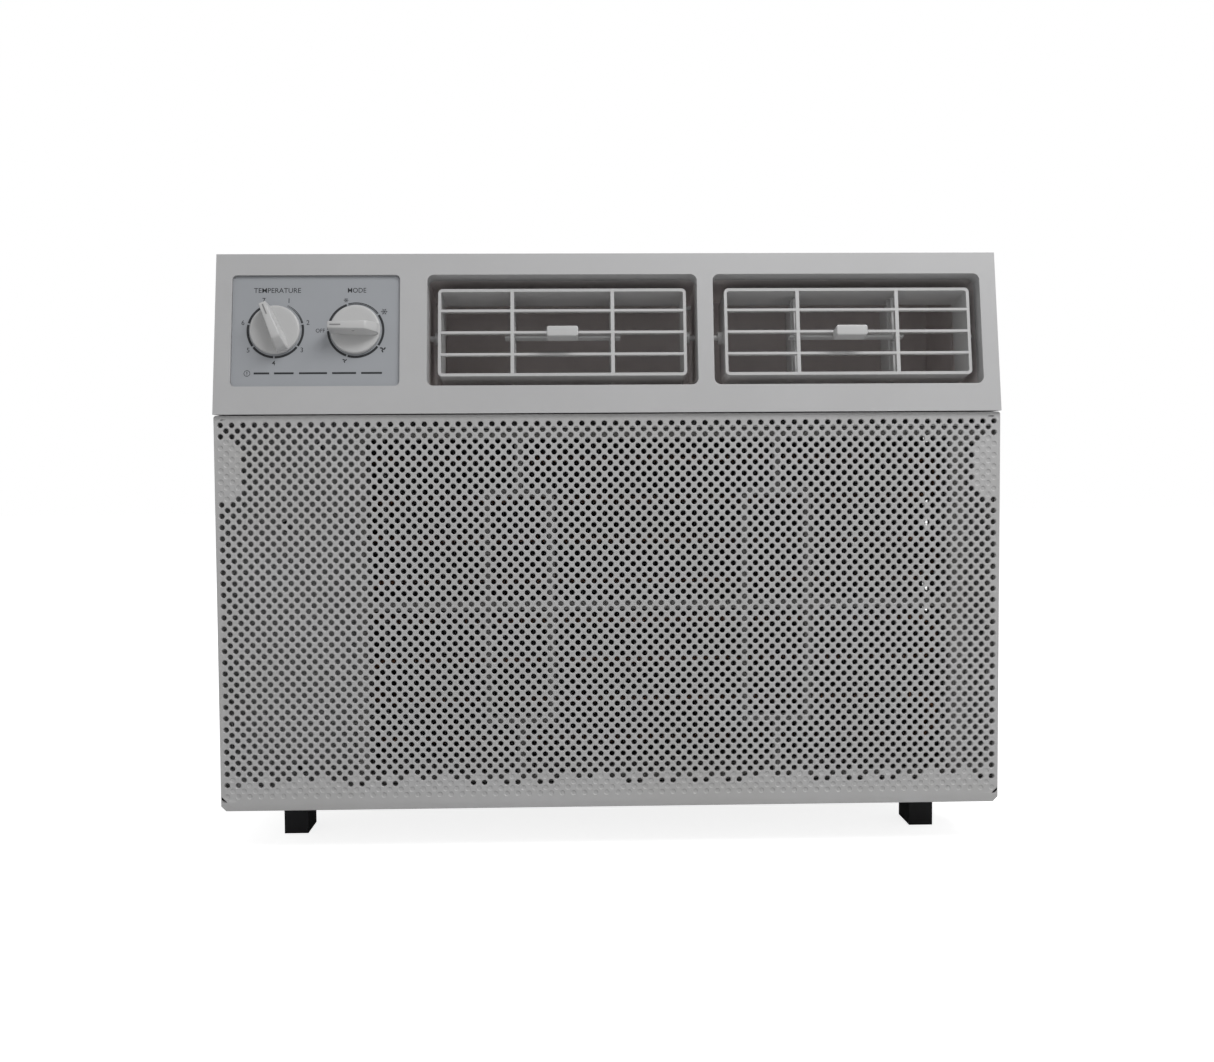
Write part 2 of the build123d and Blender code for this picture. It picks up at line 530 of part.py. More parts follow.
# ---------------------------------------------------------------- heat exchangers
# name, limits in x, y and z, passes of tube in each of the two rows
coils = (
    ("evaporator", EVAPORATOR_X, EVAPORATOR_Y, EVAPORATOR_Z, EVAPORATOR_PASSES),
    ("condenser", CONDENSER_X, CONDENSER_Y, CONDENSER_Z, CONDENSER_PASSES),
)
for name, x, y, z, passes in coils:
    with BuildPart() as fins:
        with Locations((sum(x) / 2, sum(y) / 2, sum(z) / 2)):
            with GridLocations(FIN_PITCH, 1, int((x[1] - x[0]) / FIN_PITCH), 1):
                Box(FIN_T, y[1] - y[0], z[1] - z[0])
    fins.part.label = f"{name}_fins"
    export_step(fins.part, f"parts/{name}_fins.step")
    with BuildPart() as end_plates:
        block((x[0] - 2.2, x[0] - 1.0), (y[0] - 1, y[1] + 1), (z[0] - 1, z[1] + 1))
        block((x[1] + 1.0, x[1] + 2.2), (y[0] - 1, y[1] + 1), (z[0] - 1, z[1] + 1))
    end_plates.part.label = f"{name}_end_plates"
    export_step(end_plates.part, f"parts/{name}_end_plates.step")
    step = (z[1] - z[0]) / passes
    with BuildPart() as tubes:
        for row in (0.25, 0.75):
            row_y = y[0] + (y[1] - y[0]) * row
            lead_in = (x[0] - COIL_LEAD, row_y, z[0] + step / 2)
            with BuildLine() as serpentine:
                here = lead_in
                for k in range(passes - 1):
                    level = z[0] + step * (k + 0.5)
                    to_right = k % 2 == 0
                    turn_x = x[1] + 3 if to_right else x[0] - 3
                    bulge = step / 2 if to_right else -step / 2
                    Line(here, (turn_x, row_y, level))
                    here = (turn_x, row_y, level + step)
                    ThreePointArc(
                        (turn_x, row_y, level), (turn_x + bulge, row_y, level + step / 2), here
                    )
                Line(here, (x[0] - COIL_LEAD, row_y, here[2]))
            with BuildSketch(Plane(lead_in, x_dir=(0, 1, 0), z_dir=(1, 0, 0))) as section:
                Circle(COIL_TUBE_R)
                Circle(COIL_TUBE_BORE_R, mode=Mode.SUBTRACT)
            sweep(section.sketch, path=serpentine.line)
    tubes.part.label = f"{name}_tubes"
    export_step(tubes.part, f"parts/{name}_tubes.step")

# drain tray that the evaporator stands in
with BuildPart() as drain_tray:
    tray_x = (EVAPORATOR_X[0] - 6.0, EVAPORATOR_X[1] + 4.8)
    block(tray_x, (-154.6, -117.5), (PAN_FLOOR, 37.0))
    block(tray_x, (-159.2, -117.5), (36.5, EVAPORATOR_Z[0] + 2))
    pocket_x = (EVAPORATOR_X[0] - 3.5, EVAPORATOR_X[1] + 3.3)
    block(pocket_x, (-158.3, -119.5), (EVAPORATOR_Z[0] - 1.1, EVAPORATOR_Z[0] + 3), Mode.SUBTRACT)
drain_tray.part.label = "drain_tray"
export_step(drain_tray.part, "parts/drain_tray.step")

# ---------------------------------------------------------------- compressor
comp_x, comp_y = COMPRESSOR_XY
comp_bottom, comp_top = COMPRESSOR_Z
bore_r = COMPRESSOR_R - COMPRESSOR_WALL
with BuildPart() as compressor_shell:
    with BuildSketch(Plane((comp_x, comp_y, 0), x_dir=(1, 0, 0), z_dir=(0, -1, 0))):
        with BuildLine():
            Polyline((0, comp_bottom), (COMPRESSOR_R - 16, comp_bottom))
            TangentArc(
                (COMPRESSOR_R - 16, comp_bottom), (COMPRESSOR_R, comp_bottom + 16), tangent=(1, 0)
            )
            Line((COMPRESSOR_R, comp_bottom + 16), (COMPRESSOR_R, comp_top - 22))
            TangentArc((COMPRESSOR_R, comp_top - 22), (COMPRESSOR_R - 22, comp_top), tangent=(0, 1))
            Polyline((COMPRESSOR_R - 22, comp_top), (0, comp_top), (0, comp_bottom))
        make_face()
    revolve(axis=Axis((comp_x, comp_y, 0), (0, 0, 1)))
    rod((comp_x, comp_y, comp_bottom + 96), COMPRESSOR_R + 1.2, 5, "Z")
    rod((comp_x, comp_y, comp_bottom + 85), bore_r, 110, "Z", Mode.SUBTRACT)
compressor_shell.part.label = "compressor_shell"
export_step(compressor_shell.part, "parts/compressor_shell.step")

with BuildPart() as compressor_core:
    rod((comp_x, comp_y, comp_bottom + 30.1 + 25), bore_r - 0.3, 50, "Z")
    rod((comp_x, comp_y, comp_bottom + 82), 9, 6, "Z")
    rod((comp_x, comp_y, comp_bottom + 105), bore_r - 8, 42, "Z")
compressor_core.part.label = "compressor_core"
export_step(compressor_core.part, "parts/compressor_core.step")

legs = [(comp_x + 62 * cos(radians(a)), comp_y + 62 * sin(radians(a))) for a in (90, 210, 330)]
with BuildPart() as compressor_plate:
    with BuildSketch(Plane.XY.offset(comp_bottom - 3.2)):
        with BuildLine():
            Polyline(*legs, close=True)
        make_face()
        offset(amount=11, kind=Kind.ARC)
        with Locations(*legs):
            Circle(6.2, mode=Mode.SUBTRACT)
    extrude(amount=3)
compressor_plate.part.label = "compressor_plate"
export_step(compressor_plate.part, "parts/compressor_plate.step")

with BuildPart() as compressor_mounts:
    for x, y in legs:
        rod((x, y, (PAN_FLOOR + comp_bottom - 3.4) / 2), 9, comp_bottom - 3.4 - PAN_FLOOR, "Z")
        rod((x, y, comp_bottom - 1), 6.0, 8, "Z")
        rod((x, y, comp_bottom - 6), 3.2, 30, "Z", Mode.SUBTRACT)
compressor_mounts.part.label = "compressor_mounts"
export_step(compressor_mounts.part, "parts/compressor_mounts.step")

with BuildPart() as compressor_studs:
    for x, y in legs:
        rod((x, y, PAN_FLOOR + 14.1), 3.0, 28, "Z")
    with BuildSketch(Plane.XY.offset(comp_bottom + 3.2)):
        with Locations(*legs):
            RegularPolygon(5.5, 6)
    extrude(amount=5)
compressor_studs.part.label = "compressor_studs"
export_step(compressor_studs.part, "parts/compressor_studs.step")

with BuildPart() as compressor_terminal_cover:
    block((comp_x - 22, comp_x + 22), (comp_y - 20, comp_y + 8), (comp_top + 0.2, comp_top + 9))
    fillet(compressor_terminal_cover.edges().filter_by(Axis.Z), 6)
compressor_terminal_cover.part.label = "compressor_terminal_cover"
export_step(compressor_terminal_cover.part, "parts/compressor_terminal_cover.step")

with BuildPart() as suction_accumulator:
    rod((*ACCUMULATOR_XY, 140), ACCUMULATOR_R, 110, "Z")
    fillet(suction_accumulator.edges().filter_by(GeomType.CIRCLE), 8)
    strap_x = (comp_x + COMPRESSOR_R + 1.4, ACCUMULATOR_XY[0])
    block(strap_x, (ACCUMULATOR_XY[1] - 8, ACCUMULATOR_XY[1] + 8), (150, 153))
suction_accumulator.part.label = "suction_accumulator"
export_step(suction_accumulator.part, "parts/suction_accumulator.step")

# ---------------------------------------------------------------- refrigerant pipes
condenser_step = (CONDENSER_Z[1] - CONDENSER_Z[0]) / CONDENSER_PASSES
condenser_rows = [CONDENSER_Y[0] + (CONDENSER_Y[1] - CONDENSER_Y[0]) * r for r in (0.25, 0.75)]
condenser_lead = CONDENSER_X[0] - COIL_LEAD
condenser_high = CONDENSER_Z[1] - condenser_step / 2
condenser_low = CONDENSER_Z[0] + condenser_step / 2
evaporator_step = (EVAPORATOR_Z[1] - EVAPORATOR_Z[0]) / EVAPORATOR_PASSES
evaporator_lead = EVAPORATOR_X[0] - COIL_LEAD
evaporator_high = EVAPORATOR_Z[1] - evaporator_step / 2
evaporator_low = EVAPORATOR_Z[0] + evaporator_step / 2
evaporator_rear = EVAPORATOR_Y[0] + (EVAPORATOR_Y[1] - EVAPORATOR_Y[0]) * 0.75
suction_x = -182.0

with BuildPart() as discharge_pipe:
    pipe(
        [
            (comp_x, comp_y + 22, comp_top),
            (comp_x, comp_y + 22, comp_top + 34),
            (-216, comp_y + 22, comp_top + 34),
            (-216, condenser_rows[0] - 20, comp_top + 34),
            (-216, condenser_rows[0] - 20, condenser_high),
            (-216, condenser_rows[0], condenser_high),
            (condenser_lead, condenser_rows[0], condenser_high),
        ],
        3.0,
        3.6,
    )
discharge_pipe.part.label = "discharge_pipe"
export_step(discharge_pipe.part, "parts/discharge_pipe.step")

with BuildPart() as suction_pipe:
    pipe(
        [
            (evaporator_lead, evaporator_rear, evaporator_high),
            (suction_x, evaporator_rear, evaporator_high),
            (suction_x, comp_y - 48, evaporator_high),
            (ACCUMULATOR_XY[0], comp_y - 48, evaporator_high),
            (*ACCUMULATOR_XY, evaporator_high),
            (*ACCUMULATOR_XY, 195),
        ],
        4.5,
        12,
    )
suction_pipe.part.label = "suction_pipe"
export_step(suction_pipe.part, "parts/suction_pipe.step")

with BuildPart() as filter_drier:
    rod((*DRIER_XY, 110), 8, 60, "Z")
    fillet(filter_drier.edges().filter_by(GeomType.CIRCLE), 3)
filter_drier.part.label = "filter_drier"
export_step(filter_drier.part, "parts/filter_drier.step")

with BuildPart() as liquid_pipe:
    pipe(
        [
            (condenser_lead, condenser_rows[1], condenser_low),
            (-219, condenser_rows[1], condenser_low),
            (-219, DRIER_XY[1], condenser_low),
            (-219, DRIER_XY[1], 66),
            (DRIER_XY[0], DRIER_XY[1], 66),
            (*DRIER_XY, 80),
        ],
        2.5,
        3.4,
    )
liquid_pipe.part.label = "liquid_pipe"
export_step(liquid_pipe.part, "parts/liquid_pipe.step")

coil_left, coil_right = -206.0, -160.0
coil_back, coil_front = -72.0, -90.0
capillary_route = [
    (*DRIER_XY, 140),
    (*DRIER_XY, CAPILLARY_Z),
    (CAPILLARY_X, DRIER_XY[1], CAPILLARY_Z),
    (CAPILLARY_X, coil_back, CAPILLARY_Z),
]
for turn in range(3):
    level = CAPILLARY_Z - 7 * turn
    capillary_route += [
        (coil_right, coil_back, level - 3),
        (coil_right, coil_front, level - 5),
        (coil_left, coil_front, level - 7),
        (coil_left, coil_back, level - 8.5),
    ]
capillary_route += [
    (suction_x + 20, coil_back, CAPILLARY_Z - 30),
    (suction_x + 20, evaporator_rear, CAPILLARY_Z - 30),
    (suction_x + 20, evaporator_rear, evaporator_low),
    (evaporator_lead, evaporator_rear, evaporator_low),
]
with BuildPart() as capillary_tube:
    pipe(capillary_route, 1.4, 2.6)
capillary_tube.part.label = "capillary_tube"
export_step(capillary_tube.part, "parts/capillary_tube.step")

# ---------------------------------------------------------------- motor, blower and fan
with BuildPart() as fan_motor:
    rod((FAN_X, sum(MOTOR_Y) / 2, FAN_Z), MOTOR_R, MOTOR_Y[1] - MOTOR_Y[0], "Y")
    fillet(fan_motor.edges().filter_by(GeomType.CIRCLE), 8)
    rod((FAN_X, sum(MOTOR_Y) / 2, FAN_Z), 14, MOTOR_Y[1] - MOTOR_Y[0] + 16, "Y")
    rod((FAN_X, sum(MOTOR_Y) / 2, FAN_Z), MOTOR_SHAFT_R + RUNNING, 100, "Y", Mode.SUBTRACT)
fan_motor.part.label = "fan_motor"
export_step(fan_motor.part, "parts/fan_motor.step")

with BuildPart() as motor_bracket:
    rod((FAN_X, sum(MOTOR_Y) / 2, FAN_Z), MOTOR_R + 3, 20, "Y")
    block((FAN_X - 40, FAN_X + 40), (-15, 5), (PAN_FLOOR, FAN_Z))
    block((FAN_X - 36, FAN_X + 36), (-16, 6), (PAN_FLOOR + 5, FAN_Z), Mode.SUBTRACT)
    block((FAN_X - 52, FAN_X + 52), (-15, 5), (PAN_FLOOR, PAN_FLOOR + 2))
    rod((FAN_X, sum(MOTOR_Y) / 2, FAN_Z), MOTOR_R + 0.1, 24, "Y", Mode.SUBTRACT)
motor_bracket.part.label = "motor_bracket"
export_step(motor_bracket.part, "parts/motor_bracket.step")

with BuildPart() as motor_shaft:
    rod((FAN_X, 10, FAN_Z), MOTOR_SHAFT_R, 238, "Y")
motor_shaft.part.label = "motor_shaft"
export_step(motor_shaft.part, "parts/motor_shaft.step")

# drum of forward-curved blades between a rear disc and a front ring
with BuildPart() as blower_wheel:
    rod((FAN_X, WHEEL_Y[1] - 1, FAN_Z), WHEEL_R, 2, "Y")
    with BuildSketch(fan_axis.offset(WHEEL_Y[0])):
        Circle(WHEEL_R)
        Circle(WHEEL_R - 5, mode=Mode.SUBTRACT)
    extrude(amount=4)
    rod((FAN_X, WHEEL_Y[1] - 12, FAN_Z), 12, 24, "Y")
    for k in range(WHEEL_BLADES):
        spoke = Location((FAN_X, sum(WHEEL_Y) / 2, FAN_Z), (0, 360 / WHEEL_BLADES * k, 0))
        with Locations(spoke * Location((WHEEL_R - 6, 0, 0), (0, 32, 0))):
            Box(11, WHEEL_Y[1] - WHEEL_Y[0] - 0.5, 1.2)
    rod((FAN_X, WHEEL_Y[1] - 12, FAN_Z), MOTOR_SHAFT_R, 30, "Y", Mode.SUBTRACT)
blower_wheel.part.label = "blower_wheel"
export_step(blower_wheel.part, "parts/blower_wheel.step")

# axial fan with a slinger ring that picks condensate up from the pan
with BuildPart() as condenser_fan:
    for k in range(FAN_BLADES):
        spoke = Location((FAN_X, sum(FAN_Y) / 2, FAN_Z), (0, 360 / FAN_BLADES * k, 0))
        with Locations(spoke * Location((66, 0, 0), (-28, 0, 0))):
            Box(92, 2.0, 62)
    with BuildSketch(fan_axis.offset(FAN_Y[0] - 5)):
        Circle(FAN_R + 0.5)
    extrude(amount=FAN_Y[1] - FAN_Y[0] + 10, mode=Mode.INTERSECT)
    rod((FAN_X, sum(FAN_Y) / 2, FAN_Z), 23, FAN_Y[1] - FAN_Y[0] - 4, "Y")
    with BuildSketch(fan_axis.offset(sum(FAN_Y) / 2 - 4)):
        Circle(FAN_R + 3)
        Circle(FAN_R, mode=Mode.SUBTRACT)
    extrude(amount=8)
    rod((FAN_X, sum(FAN_Y) / 2, FAN_Z), MOTOR_SHAFT_R, 60, "Y", Mode.SUBTRACT)
condenser_fan.part.label = "condenser_fan"
export_step(condenser_fan.part, "parts/condenser_fan.step")

# spiral housing round the blower wheel; its mouth opens upwards into the plenum
with BuildPart() as blower_scroll:
    for skin, inset, mode in ((2.0, 0.0, Mode.ADD), (0.0, 2.0, Mode.SUBTRACT)):
        curve = []
        for step in range(11):
            turn = radians(-20 - 27 * step)
            reach = WHEEL_R + 7 + 2.6 * step + skin
            curve.append((FAN_X + reach * cos(turn), FAN_Z + reach * sin(turn)))
        mouth_left = (curve[-1][0] + 10, SCROLL_TOP + inset)
        mouth_right = (curve[0][0] + 22, SCROLL_TOP + inset)
        with BuildSketch(Plane((0, SCROLL_Y[0] + inset, 0), x_dir=(1, 0, 0), z_dir=(0, -1, 0))):
            with BuildLine():
                Spline(*curve)
                Polyline(curve[-1], mouth_left, mouth_right, curve[0])
            make_face()
        extrude(amount=-(SCROLL_Y[1] - SCROLL_Y[0] - 2 * inset), mode=mode)
    rod((FAN_X, SCROLL_Y[0], FAN_Z), WHEEL_R - 9, 10, "Y", Mode.SUBTRACT)
    rod((FAN_X, SCROLL_Y[1], FAN_Z), 16, 10, "Y", Mode.SUBTRACT)
blower_scroll.part.label = "blower_scroll"
export_step(blower_scroll.part, "parts/blower_scroll.step")

plenum_x = duct_x
with BuildPart() as air_plenum:
    block(plenum_x, (DUCT_BACK_Y + 0.3, SCROLL_Y[1]), PLENUM_Z)
    inside_x = (plenum_x[0] + 2, plenum_x[1] - 2)
    block(inside_x, (DUCT_BACK_Y - 1, SCROLL_Y[1] - 2), (PLENUM_Z[0] + 2, PLENUM_Z[1] - 2), Mode.SUBTRACT)
    block((75, 119), (SCROLL_Y[0] + 3, SCROLL_Y[1] - 3), (260, 270), Mode.SUBTRACT)
air_plenum.part.label = "air_plenum"
export_step(air_plenum.part, "parts/air_plenum.step")

# plate with a round throat for the axial fan, boxed in to the condenser
with BuildPart() as fan_shroud:
    shroud_x = (CONDENSER_X[0] + 1, CONDENSER_X[1] - 1)
    shroud_z = (PAN_FLOOR, 346.0)
    block(shroud_x, SHROUD_Y, shroud_z)
    hollow_x = (shroud_x[0] + 2, shroud_x[1] - 2)
    block(hollow_x, (SHROUD_Y[0] + 2, SHROUD_Y[1] + 1), (shroud_z[0] + 2, shroud_z[1] - 2), Mode.SUBTRACT)
    with BuildSketch(fan_axis.offset(SHROUD_Y[0] - 8)):
        Circle(FAN_R + 7.2)
    extrude(amount=10)
    with BuildSketch(fan_axis.offset(SHROUD_Y[0] - 9)):
        Circle(FAN_R + 5)
    extrude(amount=14, mode=Mode.SUBTRACT)
fan_shroud.part.label = "fan_shroud"
export_step(fan_shroud.part, "parts/fan_shroud.step")

# ---------------------------------------------------------------- sheet metal
cabinet_half = CABINET_W / 2
pan_half = cabinet_half - SHEET - 0.5
pan_y = (-156.0, REAR_Y - 4)
with BuildPart() as base_pan:
    block((-pan_half, pan_half), pan_y, (PAN_Z, PAN_Z + PAN_RIM))
    block(
        (-pan_half + SHEET, pan_half - SHEET),
        (pan_y[0] + SHEET, pan_y[1] - SHEET),
        (PAN_Z + SHEET, PAN_Z + PAN_RIM + 1),
        Mode.SUBTRACT,
    )
    # the front upstand stays low, clear of the screw bosses
    upstand_y = (pan_y[0] - 1, pan_y[0] + 2)
    block((-pan_half, pan_half), upstand_y, (PAN_Z + 6, PAN_Z + PAN_RIM + 1), Mode.SUBTRACT)
    for side in (-1, 1):
        for y in FOOT_Y:
            rod((side * FOOT_X, y, PAN_Z), 2.3, 6, "Z", Mode.SUBTRACT)
        for y in SIDE_SCREWS_Y:
            rod((side * pan_half, y, SIDE_SCREW_Z), 2.1, 6, "X", Mode.SUBTRACT)
base_pan.part.label = "base_pan"
export_step(base_pan.part, "parts/base_pan.step")

with BuildPart() as bulkhead:
    block((-pan_half + 3, pan_half - 3), (BULKHEAD_Y, BULKHEAD_Y + SHEET), (PAN_FLOOR, 350))
    rod((FAN_X, BULKHEAD_Y, FAN_Z), 16, 8, "Y", Mode.SUBTRACT)
    rod((suction_x, BULKHEAD_Y, evaporator_high), 7, 8, "Y", Mode.SUBTRACT)
    rod((CAPILLARY_X, BULKHEAD_Y, CAPILLARY_Z), 3, 8, "Y", Mode.SUBTRACT)
bulkhead.part.label = "bulkhead"
export_step(bulkhead.part, "parts/bulkhead.step")

foot_places = [(side * FOOT_X, y) for side in (-1, 1) for y in FOOT_Y]
with BuildPart() as feet:
    with BuildSketch():
        with Locations(*foot_places):
            Rectangle(*FOOT_SIZE)
    extrude(amount=PAN_Z)
    for x, y in foot_places:
        rod((x, y, PAN_Z / 2), 2.3, PAN_Z + 2, "Z", Mode.SUBTRACT)
        rod((x, y, 4), 4.5, 8, "Z", Mode.SUBTRACT)
feet.part.label = "feet"
export_step(feet.part, "parts/feet.step")

with BuildPart() as foot_screws:
    for x, y in foot_places:
        rod((x, y, FOOT_SCREW_TOP - FOOT_SCREW_L / 2), 2.0, FOOT_SCREW_L, "Z")
        rod((x, y, 6.6), 4.0, 2.6, "Z")
foot_screws.part.label = "foot_screws"
export_step(foot_screws.part, "parts/foot_screws.step")

# wrap of one sheet, open below, with cooling slots in its sides and top
with BuildPart() as cabinet:
    cabinet_y = (CABINET_FRONT_Y, REAR_Y)
    cabinet_z = (PAN_Z + 0.4, CABINET_TOP)
    block((-cabinet_half, cabinet_half), cabinet_y, cabinet_z)
    block(
        (-cabinet_half + SHEET, cabinet_half - SHEET),
        (cabinet_y[0] - 1, cabinet_y[1] + 1),
        (cabinet_z[0] - 1, cabinet_z[1] - SHEET),
        Mode.SUBTRACT,
    )
    with BuildSketch(Plane((-cabinet_half - 1, 22, 205), x_dir=(0, 1, 0), z_dir=(1, 0, 0))):
        with GridLocations(52, 15, 3, 13):
            Rectangle(42, 5)
    extrude(amount=CABINET_W + 2, mode=Mode.SUBTRACT)
    with BuildSketch(Plane((0, 66, CABINET_TOP - 3))):
        with GridLocations(62, 15, 5, 4):
            Rectangle(52, 5)
    extrude(amount=6, mode=Mode.SUBTRACT)
    for x in TOP_RAIL_X:
        rod((x, TOP_RAIL_Y, CABINET_TOP), 2.1, 6, "Z", Mode.SUBTRACT)
    for side in (-1, 1):
        for y in SIDE_SCREWS_Y:
            rod((side * cabinet_half, y, SIDE_SCREW_Z), 2.1, 8, "X", Mode.SUBTRACT)
cabinet.part.label = "cabinet"
export_step(cabinet.part, "parts/cabinet.step")

with BuildPart() as cabinet_screws:
    for side in (-1, 1):
        for y in SIDE_SCREWS_Y:
            rod((side * (cabinet_half + 1.2), y, SIDE_SCREW_Z), 3.6, 2.2, "X")
            rod((side * (cabinet_half - 2.5), y, SIDE_SCREW_Z), 1.9, 6, "X")
cabinet_screws.part.label = "cabinet_screws"
export_step(cabinet_screws.part, "parts/cabinet_screws.step")

# stamped frame across the condenser, with upright wires and three cross wires
with BuildPart() as rear_guard:
    guard_half = cabinet_half - SHEET - 0.2
    guard_y = (REAR_Y - 3, REAR_Y)
    guard_z = (PAN_Z + 17.5, CABINET_TOP - SHEET - 0.2)
    guard_height = guard_z[1] - guard_z[0]
    block((-guard_half, guard_half), guard_y, guard_z)
    hole_y = (guard_y[0] - 1, guard_y[1] + 1)
    block((-guard_half + 14, guard_half - 14), hole_y, (guard_z[0] + 12, guard_z[1] - 12), Mode.SUBTRACT)
    with Locations((0, sum(guard_y) / 2, sum(guard_z) / 2)):
        with GridLocations(20, 1, 20, 1):
            Box(2.4, 2.4, guard_height - 20)
    for share in (0.25, 0.5, 0.75):
        wire_z = guard_z[0] + share * guard_height
        wire_y = (guard_y[0] + 0.3, guard_y[1] - 0.3)
        block((-guard_half + 10, guard_half - 10), wire_y, (wire_z - 1.5, wire_z + 1.5))
rear_guard.part.label = "rear_guard"
export_step(rear_guard.part, "parts/rear_guard.step")
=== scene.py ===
import json
from math import cos, radians, sin

import bmesh
import bpy
import numpy as np
from mathutils import Matrix, Vector

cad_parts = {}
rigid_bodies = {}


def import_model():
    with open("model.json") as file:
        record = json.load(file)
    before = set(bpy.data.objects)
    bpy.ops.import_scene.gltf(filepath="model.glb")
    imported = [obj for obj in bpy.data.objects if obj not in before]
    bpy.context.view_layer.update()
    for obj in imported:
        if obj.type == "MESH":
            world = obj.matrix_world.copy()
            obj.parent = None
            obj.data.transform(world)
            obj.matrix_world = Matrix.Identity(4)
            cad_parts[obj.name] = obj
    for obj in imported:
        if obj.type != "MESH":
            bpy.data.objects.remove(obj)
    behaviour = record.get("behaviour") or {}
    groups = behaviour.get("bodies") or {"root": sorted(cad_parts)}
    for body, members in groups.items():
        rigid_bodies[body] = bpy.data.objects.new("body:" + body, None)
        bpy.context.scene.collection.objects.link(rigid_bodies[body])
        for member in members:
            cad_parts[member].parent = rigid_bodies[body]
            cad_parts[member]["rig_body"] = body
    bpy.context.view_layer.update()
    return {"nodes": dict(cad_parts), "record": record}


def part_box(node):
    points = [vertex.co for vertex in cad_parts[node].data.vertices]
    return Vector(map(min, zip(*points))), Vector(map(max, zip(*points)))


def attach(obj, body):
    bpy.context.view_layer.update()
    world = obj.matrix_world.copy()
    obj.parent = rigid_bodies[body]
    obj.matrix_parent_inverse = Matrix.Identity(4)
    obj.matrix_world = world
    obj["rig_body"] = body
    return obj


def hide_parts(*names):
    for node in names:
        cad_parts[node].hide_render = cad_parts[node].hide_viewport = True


# Window air conditioner, dressed for the studio. Shapes are worked out in millimetres
# in the frame of the CAD model and become metres when a mesh is made.
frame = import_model()
metre = 0.001
record = frame["record"]
print("frame loaded:", len(frame["nodes"]), "nodes")


# ---- mesh making

def gridFaces(rows, cols, wrapRows=False, wrapCols=False):
    # quads between the neighbouring points of a rows by cols grid
    i = np.arange(rows if wrapRows else rows - 1)[:, None]
    j = np.arange(cols if wrapCols else cols - 1)[None, :]
    nextI = (i + 1) % rows
    nextJ = (j + 1) % cols
    corners = [i * cols + j, i * cols + nextJ, nextI * cols + nextJ, nextI * cols + j]
    return np.stack(np.broadcast_arrays(*corners), -1).reshape(-1, 4).tolist()


def joined(parts):
    # several (points, faces) in one pair
    points, faces, start = [], [], 0
    for somePoints, someFaces in parts:
        points.append(np.asarray(somePoints, float).reshape(-1, 3))
        faces += [[index + start for index in face] for face in someFaces]
        start += len(points[-1])
    return np.concatenate(points), faces


def makeMesh(name, points, faces, merge=True, outward=True, sharpAngle=35):
    # points in millimetres; points closer than a tenth of a micron become one
    mesh = bpy.data.meshes.new(name)
    mesh.from_pydata((np.asarray(points, float) * metre).tolist(), [], faces)
    if merge or outward:
        shape = bmesh.new()
        shape.from_mesh(mesh)
        if merge:
            bmesh.ops.remove_doubles(shape, verts=shape.verts, dist=1e-7)
            bmesh.ops.dissolve_degenerate(shape, edges=shape.edges, dist=1e-7)
        if outward:
            bmesh.ops.recalc_face_normals(shape, faces=shape.faces)
        shape.to_mesh(mesh)
        shape.free()
    mesh.shade_smooth()
    mesh.set_sharp_from_angle(angle=radians(sharpAngle))
    return mesh


def addPiece(name, mesh, body, slot, finish=None, replaces=(), bevel=None):
    # bevel is (width in mm, segments)
    piece = bpy.data.objects.new(name, mesh)
    bpy.context.scene.collection.objects.link(piece)
    mesh.materials.clear()
    mesh.materials.append(materials[finish or slot])
    if bevel:
        soften = piece.modifiers.new("soften", "BEVEL")
        soften.width = bevel[0] * metre
        soften.segments = bevel[1]
        soften.limit_method = "ANGLE"
        soften.angle_limit = radians(35)
        soften.harden_normals = True
    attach(piece, body)
    if replaces:
        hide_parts(*replaces)
    return piece


def softCopy(name, node, width, segments=2, finish=None):
    # a copy of a CAD node, its triangles merged to plain faces, with rounded edges
    source = frame["nodes"][node]
    mesh = source.data.copy()
    mesh.name = name
    shape = bmesh.new()
    shape.from_mesh(mesh)
    bmesh.ops.remove_doubles(shape, verts=shape.verts, dist=2e-6)
    bmesh.ops.dissolve_degenerate(shape, edges=shape.edges, dist=1e-6)
    bmesh.ops.dissolve_limit(
        shape, angle_limit=radians(0.5), verts=shape.verts, edges=shape.edges
    )
    shape.to_mesh(mesh)
    shape.free()
    for label in ("custom_normal", "UVMap"):
        if label in mesh.attributes:
            mesh.attributes.remove(mesh.attributes[label])
    mesh.shade_smooth()
    mesh.set_sharp_from_angle(angle=radians(35))
    body = source["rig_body"]
    return addPiece(name, mesh, body, slotOf[node], finish, (node,), (width, segments))


def blockPart(x, y, z):
    # a plain box between the limits
    corners = np.array([[a, b, c] for a in x for b in y for c in z], float)
    faces = [[0, 1, 3, 2], [4, 6, 7, 5], [0, 4, 5, 1], [2, 3, 7, 6], [0, 2, 6, 4], [1, 5, 7, 3]]
    return corners, faces


def prismPart(outline, low, high, place):
    # an outline of (a, b) points carried from low to high; place gives the point in space
    outline = np.asarray(outline, float)
    count = len(outline)
    rings = [place(outline[:, 0], outline[:, 1], np.full(count, h)) for h in (low, high)]
    faces = gridFaces(2, count, wrapCols=True)
    faces += [list(range(count))[::-1], list(range(count, 2 * count))]
    return np.concatenate(rings), faces


def latheX(centre, profile, steps=24):
    # a profile of (along, radius) pairs turned round an axis along X; ends are closed
    profile = np.asarray(profile, float)
    turn = np.linspace(0, 2 * np.pi, steps, endpoint=False)
    along = np.broadcast_to(profile[:, :1], (len(profile), steps))
    y = centre[1] + profile[:, 1:] * np.cos(turn)
    z = centre[2] + profile[:, 1:] * np.sin(turn)
    points = np.stack([centre[0] + along, y, z], -1)
    count = len(profile)
    faces = gridFaces(count, steps, wrapCols=True)
    faces += [list(range(steps))[::-1], list(range((count - 1) * steps, count * steps))]
    return points.reshape(-1, 3), faces


